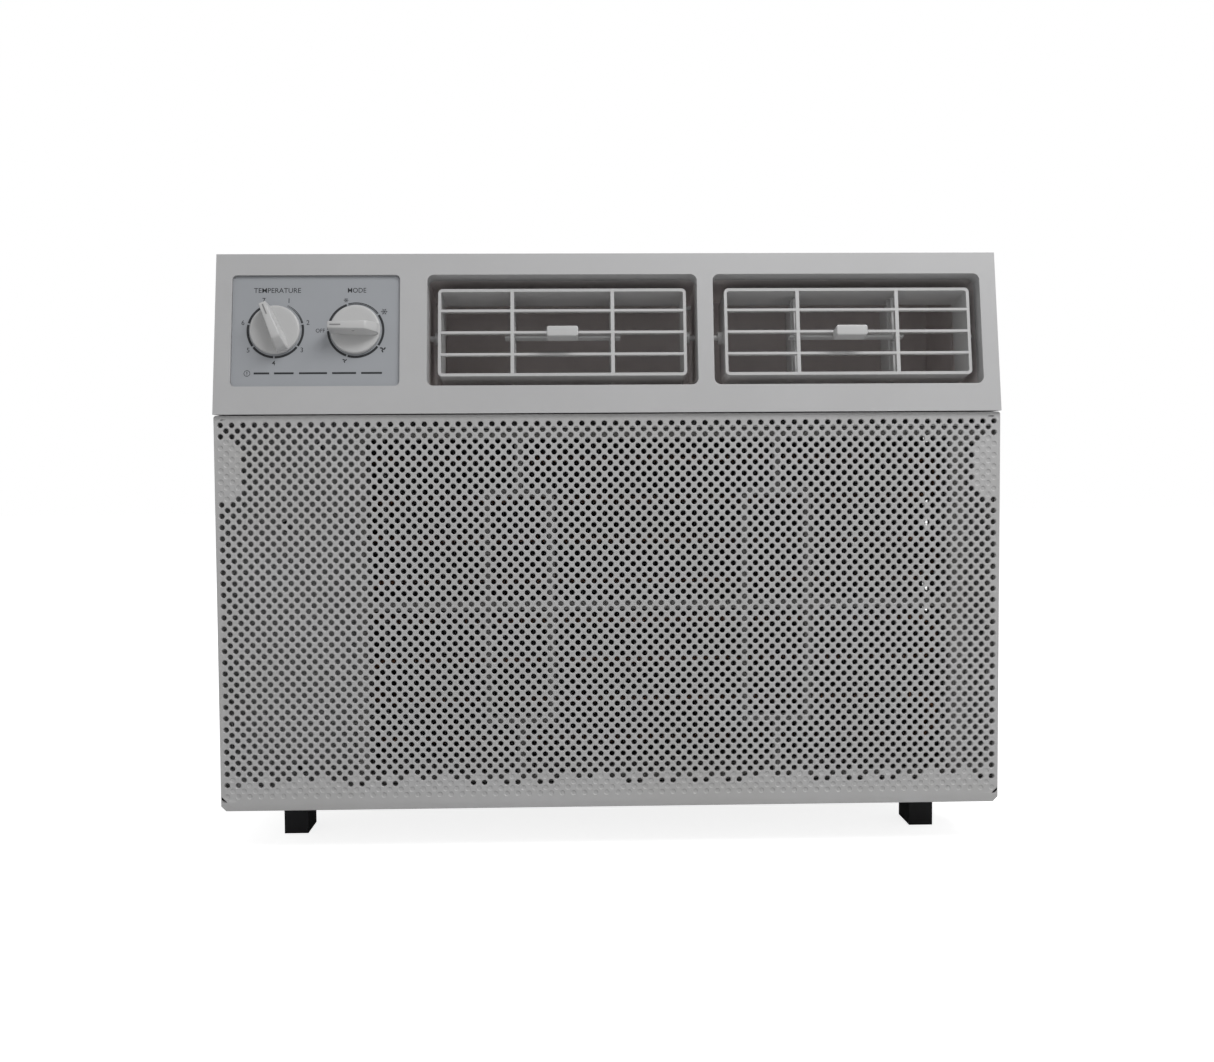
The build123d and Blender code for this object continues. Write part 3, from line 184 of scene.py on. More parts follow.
# The fascia leans back. On it x runs across, s up the slope from the seam, n outwards.
fascia = {
    "frontY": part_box("front_panel")[0].y / metre,
    "seamZ": 263.5,
    "lean": 9.8,
    "plateN": -1.7,
}


def onFascia(x, s, n):
    lean = radians(fascia["lean"])
    x, s, n = np.broadcast_arrays(np.asarray(x, float), np.asarray(s, float), np.asarray(n, float))
    y = fascia["frontY"] + s * sin(lean) - n * cos(lean)
    z = fascia["seamZ"] + s * cos(lean) + n * sin(lean)
    return np.stack([x, y, z], -1)


# ---- shader groups

def newGroup(name, inputs, outputs):
    group = bpy.data.node_groups.new(name, "ShaderNodeTree")
    for label, kind, value in inputs:
        socket = group.interface.new_socket(label, in_out="INPUT", socket_type=kind)
        if value is not None:
            socket.default_value = value
    for label, kind in outputs:
        group.interface.new_socket(label, in_out="OUTPUT", socket_type=kind)
    return group, group.nodes.new("NodeGroupInput"), group.nodes.new("NodeGroupOutput")


def addNode(tree, kind, **values):
    node = tree.nodes.new(kind)
    for key, value in values.items():
        if key in node.inputs:
            node.inputs[key].default_value = value
        else:
            setattr(node, key, value)
    return node


def makeGrainGroup():
    # fine moulded texture: two sizes of noise, and a slow mottle for the colour
    group, source, sink = newGroup(
        "mouldedGrain",
        [
            ("Vector", "NodeSocketVector", None),
            ("Grain Scale", "NodeSocketFloat", 1400.0),
            ("Mottle Scale", "NodeSocketFloat", 14.0),
        ],
        [("Height", "NodeSocketFloat"), ("Mottle", "NodeSocketFloat")],
    )
    tree = group
    fine = addNode(tree, "ShaderNodeTexNoise", Detail=2.0, Roughness=0.55)
    coarse = addNode(tree, "ShaderNodeTexVoronoi", feature="SMOOTH_F1", Smoothness=0.8)
    slower = addNode(tree, "ShaderNodeMath", operation="MULTIPLY")
    slower.inputs[1].default_value = 0.45
    blend = addNode(tree, "ShaderNodeMath", operation="MULTIPLY_ADD")
    blend.inputs[1].default_value = 0.4
    mottle = addNode(tree, "ShaderNodeTexNoise", Detail=4.0, Roughness=0.6)
    link = tree.links.new
    for texture in (fine, coarse, mottle):
        link(source.outputs["Vector"], texture.inputs["Vector"])
    link(source.outputs["Grain Scale"], fine.inputs["Scale"])
    link(source.outputs["Grain Scale"], slower.inputs[0])
    link(slower.outputs[0], coarse.inputs["Scale"])
    link(source.outputs["Mottle Scale"], mottle.inputs["Scale"])
    link(coarse.outputs["Distance"], blend.inputs[0])
    link(fine.outputs["Fac"], blend.inputs[2])
    link(blend.outputs[0], sink.inputs["Height"])
    link(mottle.outputs["Fac"], sink.inputs["Mottle"])
    return group


def makeTintGroup():
    # moves a colour towards a second one where the mottle is strong
    group, source, sink = newGroup(
        "mottledTint",
        [
            ("Color", "NodeSocketColor", (0.6, 0.6, 0.6, 1)),
            ("Second Color", "NodeSocketColor", (0.5, 0.5, 0.5, 1)),
            ("Mottle", "NodeSocketFloat", 0.5),
            ("Amount", "NodeSocketFloat", 0.3),
        ],
        [("Color", "NodeSocketColor"), ("Mask", "NodeSocketFloat")],
    )
    spread = addNode(group, "ShaderNodeMapRange", interpolation_type="SMOOTHSTEP")
    spread.inputs["From Min"].default_value = 0.38
    spread.inputs["From Max"].default_value = 0.68
    share = addNode(group, "ShaderNodeMath", operation="MULTIPLY")
    mix = addNode(group, "ShaderNodeMix", data_type="RGBA")
    link = group.links.new
    link(source.outputs["Mottle"], spread.inputs["Value"])
    link(spread.outputs["Result"], share.inputs[0])
    link(source.outputs["Amount"], share.inputs[1])
    link(share.outputs[0], mix.inputs["Factor"])
    link(source.outputs["Color"], mix.inputs["A"])
    link(source.outputs["Second Color"], mix.inputs["B"])
    link(mix.outputs["Result"], sink.inputs["Color"])
    link(share.outputs[0], sink.inputs["Mask"])
    return group


def makeDustGroup():
    # dust lies on faces that look upwards, broken up by noise
    group, source, sink = newGroup(
        "settledDust",
        [
            ("Vector", "NodeSocketVector", None),
            ("Color", "NodeSocketColor", (0.6, 0.6, 0.6, 1)),
            ("Dust Color", "NodeSocketColor", (0.42, 0.39, 0.35, 1)),
            ("Amount", "NodeSocketFloat", 0.2),
        ],
        [("Color", "NodeSocketColor"), ("Mask", "NodeSocketFloat")],
    )
    geometry = addNode(group, "ShaderNodeNewGeometry")
    split = addNode(group, "ShaderNodeSeparateXYZ")
    upward = addNode(group, "ShaderNodeMapRange", interpolation_type="SMOOTHSTEP")
    upward.inputs["From Min"].default_value = 0.25
    upward.inputs["From Max"].default_value = 0.95
    specks = addNode(group, "ShaderNodeTexNoise", Scale=220.0, Detail=5.0, Roughness=0.7)
    broken = addNode(group, "ShaderNodeMath", operation="MULTIPLY")
    share = addNode(group, "ShaderNodeMath", operation="MULTIPLY")
    mix = addNode(group, "ShaderNodeMix", data_type="RGBA")
    link = group.links.new
    link(geometry.outputs["Normal"], split.inputs[0])
    link(split.outputs["Z"], upward.inputs["Value"])
    link(source.outputs["Vector"], specks.inputs["Vector"])
    link(upward.outputs["Result"], broken.inputs[0])
    link(specks.outputs["Fac"], broken.inputs[1])
    link(broken.outputs[0], share.inputs[0])
    link(source.outputs["Amount"], share.inputs[1])
    link(share.outputs[0], mix.inputs["Factor"])
    link(source.outputs["Color"], mix.inputs["A"])
    link(source.outputs["Dust Color"], mix.inputs["B"])
    link(mix.outputs["Result"], sink.inputs["Color"])
    link(share.outputs[0], sink.inputs["Mask"])
    return group


groups = {"grain": makeGrainGroup(), "tint": makeTintGroup(), "dust": makeDustGroup()}

# ---- finishes
# colour and second: linear colours; grain: size per metre and height in mm; stretch: how
# the pattern is drawn out along x, y, z; rough: lowest and highest roughness
finishes = {
    "front_moulding": {"colour": (0.545, 0.545, 0.55), "second": (0.515, 0.514, 0.518), "amount": 0.5,
                       "rough": (0.36, 0.46), "grain": (1500, 0.022), "dust": 0.1},
    "grille_moulding": {"colour": (0.545, 0.543, 0.545), "second": (0.50, 0.495, 0.485), "amount": 0.5,
                        "rough": (0.38, 0.5), "grain": (1500, 0.018), "dust": 0.12},
    "control_plate": {"colour": (0.40, 0.415, 0.44), "second": (0.375, 0.39, 0.41), "amount": 0.4,
                      "rough": (0.34, 0.42), "grain": (2600, 0.006), "dust": 0.1},
    "knob": {"colour": (0.60, 0.60, 0.60), "second": (0.56, 0.56, 0.56), "amount": 0.3,
             "rough": (0.28, 0.36), "grain": (2400, 0.004), "dust": 0.05},
    "louver": {"colour": (0.60, 0.60, 0.60), "second": (0.55, 0.55, 0.55), "amount": 0.3,
               "rough": (0.30, 0.38), "grain": (2400, 0.004), "dust": 0.1},
    "duct": {"colour": (0.80, 0.755, 0.75), "second": (0.70, 0.65, 0.64), "amount": 0.6,
             "rough": (0.62, 0.78), "grain": (500, 0.08), "dust": 0.3},
    "filter_frame": {"colour": (0.58, 0.57, 0.56), "second": (0.50, 0.485, 0.47), "amount": 0.5,
                     "rough": (0.42, 0.55), "grain": (1500, 0.012), "dust": 0.3},
    "filter_mesh": {"colour": (0.02, 0.02, 0.021), "second": (0.05, 0.045, 0.04), "amount": 0.6,
                    "rough": (0.6, 0.75), "grain": (2500, 0.01), "dust": 0.4},
    "cabinet_steel": {"colour": (0.54, 0.54, 0.525), "second": (0.50, 0.495, 0.475), "amount": 0.5,
                      "rough": (0.34, 0.44), "grain": (320, 0.03), "dust": 0.25},
    "zinc_steel": {"colour": (0.50, 0.51, 0.52), "second": (0.40, 0.41, 0.42), "amount": 0.7,
                   "metallic": 1.0, "rough": (0.44, 0.6), "grain": (90, 0.01), "mottle": 60, "dust": 0.3},
    "fins": {"colour": (0.70, 0.71, 0.73), "second": (0.56, 0.55, 0.53), "amount": 0.7, "metallic": 0.5,
             "rough": (0.32, 0.48), "grain": (700, 0.01), "mottle": 40, "dust": 0.3},
    "copper": {"colour": (0.62, 0.30, 0.17), "second": (0.33, 0.16, 0.09), "amount": 0.8, "metallic": 1.0,
               "rough": (0.36, 0.5), "grain": (900, 0.006), "mottle": 70, "dust": 0.2},
    "black_steel": {"colour": (0.012, 0.012, 0.013), "second": (0.02, 0.02, 0.02), "amount": 0.5,
                    "rough": (0.22, 0.36), "grain": (320, 0.03), "dust": 0.3},
    "compressor_iron": {"colour": (0.10, 0.10, 0.105), "second": (0.06, 0.055, 0.05), "amount": 0.8,
                        "metallic": 0.9, "rough": (0.4, 0.6), "grain": (600, 0.08), "dust": 0.2},
    "rubber": {"colour": (0.012, 0.012, 0.016), "second": (0.022, 0.021, 0.021), "amount": 0.7,
               "rough": (0.55, 0.75), "grain": (1200, 0.03), "dust": 0.3},
    "dark_plastic": {"colour": (0.02, 0.02, 0.022), "second": (0.03, 0.03, 0.03), "amount": 0.5,
                     "rough": (0.4, 0.55), "grain": (1500, 0.02), "dust": 0.3},
    "fan_plastic": {"colour": (0.05, 0.05, 0.053), "second": (0.075, 0.07, 0.065), "amount": 0.5,
                    "rough": (0.35, 0.5), "grain": (1500, 0.015), "dust": 0.3},
    "bright_metal": {"colour": (0.62, 0.62, 0.63), "second": (0.5, 0.5, 0.5), "amount": 0.6,
                     "metallic": 1.0, "rough": (0.2, 0.34), "grain": (400, 0.006),
                     "stretch": (6, 0.4, 6), "dust": 0.1},
    "screw": {"colour": (0.34, 0.34, 0.35), "second": (0.22, 0.21, 0.2), "amount": 0.7, "metallic": 1.0,
              "rough": (0.28, 0.45), "grain": (2000, 0.006), "mottle": 300, "dust": 0.2},
    "printInk": {"colour": (0.028, 0.03, 0.034), "second": (0.045, 0.047, 0.05), "amount": 0.6,
                 "rough": (0.4, 0.5), "grain": (3000, 0.003), "mottle": 200, "dust": 0.0},
    # painted shade: a darker grey standing in for the shadow that shows the pointer line on each grip
    "pointerPaintedShade": {"colour": (0.26, 0.26, 0.265), "second": (0.3, 0.3, 0.3), "amount": 0.5,
                   "rough": (0.4, 0.5), "grain": (3000, 0.003), "mottle": 200, "dust": 0.0},
}


def makeFinish(name, look):
    material = bpy.data.materials.new(name)
    material.use_nodes = True
    tree = material.node_tree
    shader = tree.nodes["Principled BSDF"]
    shader.inputs["Metallic"].default_value = look.get("metallic", 0.0)
    place = addNode(tree, "ShaderNodeTexCoord")
    stretch = addNode(tree, "ShaderNodeMapping", Scale=look.get("stretch", (1, 1, 1)))
    parts = {}
    for key, group in groups.items():
        parts[key] = tree.nodes.new("ShaderNodeGroup")
        parts[key].node_tree = group
    grain, tint, dust = parts["grain"], parts["tint"], parts["dust"]
    grain.inputs["Grain Scale"].default_value = look["grain"][0]
    grain.inputs["Mottle Scale"].default_value = look.get("mottle", 14.0)
    tint.inputs["Color"].default_value = (*look["colour"], 1)
    tint.inputs["Second Color"].default_value = (*look["second"], 1)
    tint.inputs["Amount"].default_value = look["amount"]
    dust.inputs["Amount"].default_value = look["dust"]
    roughness = addNode(tree, "ShaderNodeMapRange")
    roughness.inputs["To Min"].default_value = look["rough"][0]
    roughness.inputs["To Max"].default_value = look["rough"][1]
    bump = addNode(tree, "ShaderNodeBump", Strength=0.6, Distance=look["grain"][1] * metre)
    link = tree.links.new
    link(place.outputs["Object"], stretch.inputs["Vector"])
    link(stretch.outputs[0], grain.inputs["Vector"])
    link(stretch.outputs[0], dust.inputs["Vector"])
    link(grain.outputs["Mottle"], tint.inputs["Mottle"])
    link(tint.outputs["Color"], dust.inputs["Color"])
    link(dust.outputs["Color"], shader.inputs["Base Color"])
    link(grain.outputs["Mottle"], roughness.inputs["Value"])
    link(roughness.outputs["Result"], shader.inputs["Roughness"])
    link(grain.outputs["Height"], bump.inputs["Height"])
    link(bump.outputs["Normal"], shader.inputs["Normal"])
    return material


materials = {name: makeFinish(name, look) for name, look in finishes.items()}
slotOf = {entry["node"]: entry["material_slot"] for entry in record["subparts"]}
for name, node in frame["nodes"].items():
    node.data.materials.clear()
    node.data.materials.append(materials[slotOf[name]])
print("finishes made:", len(materials))

# ---- moulded front, louvers and feet: rounded copies of the CAD shapes
softPieces = {
    "frontMoulding": ("front_panel", 0.7, 3),
    "louverFrameLeft": ("louver_grid_left", 0.45, 3),
    "louverFrameRight": ("louver_grid_right", 0.45, 3),
    "tabLeft": ("louver_slider_left", 0.3, 2),
    "tabRight": ("louver_slider_right", 0.3, 2),
    "vaneLeftA": ("louver_vane_left_a", 0.25, 2),
    "vaneLeftB": ("louver_vane_left_b", 0.25, 2),
    "vaneRightA": ("louver_vane_right_a", 0.25, 2),
    "vaneRightB": ("louver_vane_right_b", 0.25, 2),
    "filterRibs": ("filter_frame", 0.35, 2),
    "rubberFeet": ("feet", 1.0, 3),
}
for name, (node, width, segments) in softPieces.items():
    softCopy(name, node, width, segments)
print("rounded copies made:", len(softPieces))

# ---- intake grille: holes on a diagonal lattice, with a shallow rim round each
lattice = {
    "frontY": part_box("intake_grille")[0].y / metre,
    "thick": 2.4,
    "rows": 67,
    "evenCount": 70,
    "firstX": -231.15,
    "firstZ": 257.2,
    "pitch": 6.7,
    "rowStep": 3.37,
    "holeR": 1.67,
    "rimR": 2.02,
    "rimDepth": 0.35,
    "dimpleR": 1.7,
    "dimpleDepth": 0.5,
    "bands": ((0, 22), (22, 44), (44, 67)),
    # holes left as dimples, by row and column: the finger grips at the sides and a
    # pattern along the bottom edge
    "gripOdd": {3: (0,), 5: (0, 1), 7: (0, 1), 9: (0, 1), 11: (0, 1), 13: (0,)},
    "gripEven": (4, 6, 8, 10, 12),
    "lastRows": (63, 64),
    "row63": (0, 3, 6, 8, 11, 14, 16, 19, 22, 25, 28, 30, 33, 36, 39, 42, 45, 48, 51, 53, 56, 59, 63,
              66, 68),
    "row64Open": (0, 1, 3, 4, 11, 12, 14, 15, 22, 23, 25, 26, 28, 29, 36, 37, 39, 40, 42, 43, 45, 46,
                  53, 54, 56, 57, 59, 60, 62, 68, 69),
}


ringPoints = 12
pointSize = 1e-6  # radius of a ring that closes to a point


def isDimple(row, column, count):
    # grip dimples are the same from either side
    fromEdge = min(column, count - 1 - column)
    if row in lattice["gripOdd"]:
        return fromEdge in lattice["gripOdd"][row]
    if row in lattice["gripEven"]:
        return fromEdge < 2
    partly, mostly = lattice["lastRows"]
    if row == partly:
        return column in lattice["row63"]
    if row == mostly:
        return column not in lattice["row64Open"]
    return row > mostly


def diamondRing():
    # three points to a side, shared with the neighbours
    halfX, halfZ = lattice["pitch"] / 2, lattice["rowStep"]
    corners = np.array([[halfX, 0], [0, halfZ], [-halfX, 0], [0, -halfZ]])
    share = np.arange(3)[None, :, None] / 3
    following = np.roll(corners, -1, 0)
    return (corners[:, None] * (1 - share) + following[:, None] * share).reshape(ringPoints, 2)


def circleRing(radius):
    turn = np.arange(ringPoints) * 2 * np.pi / ringPoints
    return radius * np.stack([np.cos(turn), np.sin(turn)], -1)


def layRing(ring, depth):
    # an outline of (x, z) points laid in the upright plane at y = depth
    return np.column_stack([ring[:, 0], np.full(len(ring), depth), ring[:, 1]])


def cellTemplate(pierced):
    # rings of points: diamond edge, rim, then down the hole and out to the back,
    # or down to the floor of a dimple; each ring is (outline, depth behind the front)
    edge, thick = diamondRing(), lattice["thick"]
    if pierced:
        rings = [
            (edge, 0),
            (circleRing(lattice["rimR"]), 0),
            (circleRing(lattice["holeR"]), lattice["rimDepth"]),
            (circleRing(lattice["holeR"]), thick),
            (edge, thick),
        ]
    else:
        rings = [
            (edge, 0),
            (circleRing(lattice["dimpleR"]), 0),
            (circleRing(lattice["dimpleR"] * 0.72), lattice["dimpleDepth"] * 0.75),
            (circleRing(pointSize), lattice["dimpleDepth"]),
        ]
    points = np.concatenate([layRing(ring, depth) for ring, depth in rings])
    faces = np.array(gridFaces(len(rings), ringPoints, wrapCols=True))
    if not pierced:
        # flat back of the cell
        backStart = len(points)
        points = np.concatenate([points, layRing(circleRing(pointSize), thick), layRing(edge, thick)])
        backFaces = np.array(gridFaces(2, ringPoints, wrapCols=True)) + backStart
        faces = np.concatenate([faces, backFaces])
    return points, faces


def latticeBand(firstRow, lastRow):
    # copies of the two templates at every place of the rows, as whole arrays
    places = {True: [], False: []}
    for row in range(firstRow, lastRow):
        odd = row % 2
        count = lattice["evenCount"] - odd
        columns = np.arange(count)
        x = lattice["firstX"] + lattice["pitch"] * (columns + odd / 2)
        z = np.full(count, lattice["firstZ"] - lattice["rowStep"] * row)
        dimple = np.array([isDimple(row, column, count) for column in columns])
        centres = np.stack([x, np.full(count, lattice["frontY"]), z], -1)
        places[True].append(centres[~dimple])
        places[False].append(centres[dimple])
    points, faces, start = [], [], 0
    for pierced, centres in places.items():
        centres = np.concatenate(centres)
        somePoints, someFaces = cellTemplate(pierced)
        points.append((centres[:, None] + somePoints[None]).reshape(-1, 3))
        offset = start + np.arange(len(centres)) * len(somePoints)
        faces.append((someFaces[None] + offset[:, None, None]).reshape(-1, 4))
        start += len(points[-1])
    points, faces = np.concatenate(points), np.concatenate(faces)
    # neighbours share their edge points
    keys = np.round(points * 1000).astype(np.int64)
    first, back = np.unique(keys, axis=0, return_index=True, return_inverse=True)[1:]
    return points[first], back.reshape(-1)[faces]


for label, (firstRow, lastRow) in zip(("Upper", "Middle", "Lower"), lattice["bands"]):
    points, faces = latticeBand(firstRow, lastRow)
    mesh = makeMesh(
        f"grilleHoles{label}", points, faces.tolist(), merge=False, outward=False, sharpAngle=30
    )
    shape = bmesh.new()
    shape.from_mesh(mesh)
    bmesh.ops.dissolve_degenerate(shape, edges=shape.edges, dist=5e-8)
    shape.to_mesh(mesh)
    shape.free()
    addPiece(f"grilleHoles{label}", mesh, "grille", "grille_moulding")
    print("grille band", label, len(mesh.polygons), "faces")

# The tray round the holes: one profile carried round the outline, with the small
# triangles between the outermost holes and the straight edge.
tray = {
    "halfW": 235.0,
    "bottom": 26.0,
    "top": 262.9,
    "backY": lattice["frontY"] + 20.0,
    "cornerCut": 3.0,
    "wall": 2.4,
    "round": 0.42,
    "topCut": 1.0,
    "leastCut": 0.05,
    "cutLoss": 0.586,  # by how much a corner cut shortens as the outline moves in by one
    "hinge": (213.5, -172.3, 32.5, 2.0),
    "catchX": (221.0, 227.0),
    "catchBack": -162.8,
    "filterX": (-157.0, 233.1),
    "filterZ": (40.0, 254.0),
    "filterY": (-181.3, -175.3),
}
fieldX = (lattice["firstX"] - lattice["pitch"] / 2, -lattice["firstX"] + lattice["pitch"] / 2)
fieldZ = (
    lattice["firstZ"] - lattice["rowStep"] * lattice["rows"],
    lattice["firstZ"] + lattice["rowStep"],
)


def trayRing(inset, depth):
    # the outline moved inwards by inset: two cut corners below, two finer ones above
    x, low, high = tray["halfW"] - inset, tray["bottom"] + inset, tray["top"] - inset
    lowCut = max(tray["cornerCut"] - tray["cutLoss"] * inset, tray["leastCut"])
    topCut = max(tray["topCut"] - tray["cutLoss"] * inset, tray["leastCut"])
    outline = [
        (-x, high - topCut), (-x, low + lowCut), (-x + lowCut, low), (x - lowCut, low),
        (x, low + lowCut), (x, high - topCut), (x - topCut, high), (-x + topCut, high),
    ]
    return layRing(np.array(outline), lattice["frontY"] + depth)


def fieldRing(depth):
    # the straight edge of the field of holes, with the same eight points
    low, high = fieldZ
    outline = [
        (fieldX[0], high), (fieldX[0], low), (fieldX[0] + 3, low), (fieldX[1] - 3, low),
        (fieldX[1], low), (fieldX[1], high), (fieldX[1] - 1, high), (fieldX[0] + 1, high),
    ]
    return layRing(np.array(outline), lattice["frontY"] + depth)


def edgeTriangles(depth, flip):
    # half diamonds that fill the zigzag edge of the lattice; inner sides have two extra
    # points each, as the cells beside them have
    pitch, step, count = lattice["pitch"], lattice["rowStep"], lattice["evenCount"]
    rowZ = lattice["firstZ"] - step * np.arange(lattice["rows"])
    topX = lattice["firstX"] + pitch * np.arange(count - 1)
    tips = [
        ((x, fieldZ[1]), (x + pitch, fieldZ[1]), (x + pitch / 2, lattice["firstZ"])) for x in topX
    ] + [
        ((x + pitch, fieldZ[0]), (x, fieldZ[0]), (x + pitch / 2, rowZ[-1])) for x in topX
    ] + [
        ((fieldX[0], z - step), (fieldX[0], z + step), (fieldX[0] + pitch / 2, z)) for z in rowZ[1::2]
    ] + [
        ((fieldX[1], z + step), (fieldX[1], z - step), (fieldX[1] - pitch / 2, z)) for z in rowZ[1::2]
    ]
    a, b, tip = (np.array([t[k] for t in tips], float) for k in range(3))
    rising = [b * 2 / 3 + tip / 3, b / 3 + tip * 2 / 3]
    falling = [a / 3 + tip * 2 / 3, a * 2 / 3 + tip / 3]
    ring = np.stack([a, b, *rising, tip, *falling], 1)
    count = ring.shape[1]
    order = np.arange(count)[::-1] if flip else np.arange(count)
    faces = (np.arange(len(tips))[:, None] * count + order[None]).tolist()
    return layRing(ring.reshape(-1, 2), lattice["frontY"] + depth), faces


def cornerTriangles(depth, flip):
    # the four quarter diamonds in the corners of the field
    pitch, step = lattice["pitch"] / 2, lattice["rowStep"]
    points, faces = [], []
    for x, inward in ((fieldX[0], 1), (fieldX[1], -1)):
        for z, turn in ((fieldZ[1], -1), (fieldZ[0], 1)):
            start = len(points)
            points += [(x, z), (x + inward * pitch, z), (x, z + turn * step)]
            towardsFront = inward * turn < 0
            order = [0, 1, 2] if towardsFront == flip else [0, 2, 1]
            faces.append([start + k for k in order])
    return layRing(np.array(points), lattice["frontY"] + depth), faces


def trayParts():
    wall, roundness, depth = tray["wall"], tray["round"], tray["backY"] - lattice["frontY"]
    turn = np.linspace(0, np.pi / 2, 4)
    rings = [fieldRing(0)]
    rings += [trayRing(roundness * (1 - np.sin(t)), roundness * (1 - np.cos(t))) for t in turn]
    rings += [trayRing(0, depth), trayRing(wall, depth), trayRing(wall, wall), fieldRing(wall)]
    return np.concatenate(rings), gridFaces(len(rings), 8, wrapRows=True, wrapCols=True)


hingeX, hingeY, hingeZ, hingeR = tray["hinge"]
lipY = (tray["filterY"][1] + 0.5, tray["filterY"][1] + 2.0)
faceBack = lattice["frontY"] + lattice["thick"]
rooted = faceBack - 0.3  # fittings start just inside the face
low, high = tray["filterZ"]
fittings = [
    blockPart(tray["filterX"], (rooted, lipY[1]), (low - 2.0, low - 0.6)),
    blockPart(tray["filterX"], lipY, (low - 2.0, low + 2.0)),
    blockPart(tray["filterX"], (rooted, lipY[1]), (high + 0.6, high + 2.0)),
    blockPart(tray["filterX"], lipY, (high - 2.0, high + 2.0)),
]
for side in (-1, 1):
    earX = sorted((side * (hingeX + 2), side * (hingeX + 5)))
    fittings.append(blockPart(earX, (rooted, hingeY + 4), (tray["bottom"] + 1, hingeZ + 4)))
    fittings.append(latheX((side * (hingeX + 1), hingeY, hingeZ), [(-3, hingeR), (3, hingeR)]))
    catchX = sorted(side * x for x in tray["catchX"])
    catchZ = (tray["top"] - tray["wall"] - 1.6, tray["top"] - tray["wall"] + 0.3)
    fittings.append(blockPart(catchX, (tray["backY"] - 8, tray["catchBack"]), catchZ))
points, faces = joined([
    edgeTriangles(0, False), edgeTriangles(tray["wall"], True), cornerTriangles(0, False),
    cornerTriangles(tray["wall"], True),
])
addPiece("grilleEdge", makeMesh("grilleEdge", points, faces, outward=False), "grille", "grille_moulding")
trayMesh = makeMesh("grilleTray", *trayParts(), sharpAngle=30)
grilleTray = addPiece("grilleTray", trayMesh, "grille", "grille_moulding", replaces=("intake_grille",))
# the filter's slot in the right rim, and a notch at each hinge ear of the front
slotX = (tray["halfW"] - 4, tray["halfW"] + 1)
slotY = (tray["filterY"][0] - 0.5, tray["filterY"][1] + 0.5)
cutters = [blockPart(slotX, slotY, (low - 0.5, high + 0.5))]
notchZ = (tray["bottom"] - 1, tray["bottom"] + tray["wall"] + 1)
for side in (-1, 1):
    notchX = sorted((side * (hingeX - 3), side * (hingeX + 2)))
    cutters.append(blockPart(notchX, (faceBack, tray["backY"] + 1), notchZ))
slotCutMesh = makeMesh("slotCut", *joined(cutters))
slotCut = bpy.data.objects.new("slotCut", slotCutMesh)
bpy.context.scene.collection.objects.link(slotCut)
cut = grilleTray.modifiers.new("filterSlot", "BOOLEAN")
cut.object = slotCut
cut.operation = "DIFFERENCE"
cut.solver = "EXACT"
bpy.context.view_layer.update()
shaped = grilleTray.evaluated_get(bpy.context.evaluated_depsgraph_get())
cutMesh = bpy.data.meshes.new_from_object(shaped)
grilleTray.modifiers.clear()
cutMesh.name = "grilleTrayCut"
cutMesh.materials.clear()
cutMesh.materials.append(materials["grille_moulding"])
grilleTray.data = cutMesh
bpy.data.objects.remove(slotCut)
points, faces = joined(fittings)
mesh = makeMesh("grilleFittings", points, faces)
addPiece("grilleFittings", mesh, "grille", "grille_moulding", bevel=(0.3, 2))
print("grille tray made")

# ---- dials: a low round skirt and a tall grip that narrows towards the pointer
dial = {
    "skirtR": 14.85,
    "skirtH": 2.6,
    "baseN": -1.3,
    "height": 12.4,
    "s": 51.4,
    "mark": (7.0, 13.4, 0.38),
    "places": {
        "Temperature": (-199.3, 112.0, "temperature_control", "temperature_knob"),
        "Mode": (-151.5, 180.0, "mode_control", "mode_knob"),
    },
}


def dialSkirt():
    # profile of (radius, height) turned round the dial's axis
    r, h = dial["skirtR"], dial["skirtH"]
    turn = np.linspace(0, np.pi / 2, 5)
    edge = [(r - 1.1 + 1.1 * np.cos(t), h - 1.1 + 1.1 * np.sin(t)) for t in turn]
    profile = np.array([(1e-6, 0.0), (r, 0.0), *edge, (r - 3, h - 0.12), (1e-6, h - 0.35)])
    steps = 72
    angle = np.linspace(0, 2 * np.pi, steps, endpoint=False)
    p = profile[:, :1] * np.cos(angle)
    q = profile[:, :1] * np.sin(angle)
    n = np.broadcast_to(profile[:, 1:], p.shape)
    return np.stack([p, q, n], -1).reshape(-1, 3), gridFaces(len(profile), steps, wrapCols=True)


def dialGrip():
    # cross-sections along the grip: (place, half width at the foot, half width on top, height)
    top = dial["height"]
    stations = np.array([
        (14.85, 2.2, 1.6, top - 0.9), (14.7, 2.7, 2.1, top - 0.3), (14.25, 2.95, 2.25, top),
        (8.0, 3.4, 2.35, top), (0.0, 4.1, 2.5, top), (-6.5, 4.65, 2.65, top),
        (-7.6, 4.7, 2.65, top - 0.25), (-8.4, 4.72, 2.65, top - 0.9),
        (-12.4, 4.6, 3.0, 7.4), (-13.4, 4.5, 3.0, 5.6), (-14.0, 4.2, 2.8, 4.0),
    ])
    place, foot, crown, height = (stations[:, k:k + 1] for k in range(4))
    corner = 0.65
    turn = np.linspace(0, np.pi / 2, 4)[None]
    rise = np.linspace(0, 0.85, 4)[None]
    sideQ = foot + (crown - foot) * rise
    sideN = (height - corner) * rise
    bendQ = crown - corner + corner * np.cos(turn)
    bendN = height - corner + corner * np.sin(turn)
    halfQ = np.concatenate([sideQ, bendQ], 1)
    halfN = np.concatenate([sideN, bendN], 1)
    q = np.concatenate([halfQ, -halfQ[:, ::-1]], 1)
    n = np.concatenate([halfN, halfN[:, ::-1]], 1)
    points = np.stack([np.broadcast_to(place, q.shape), q, n], -1).reshape(-1, 3)
    count = q.shape[1]
    faces = gridFaces(len(stations), count, wrapCols=True)
    last = (len(stations) - 1) * count
    return points, faces + [list(range(count))[::-1], list(range(last, last + count))]


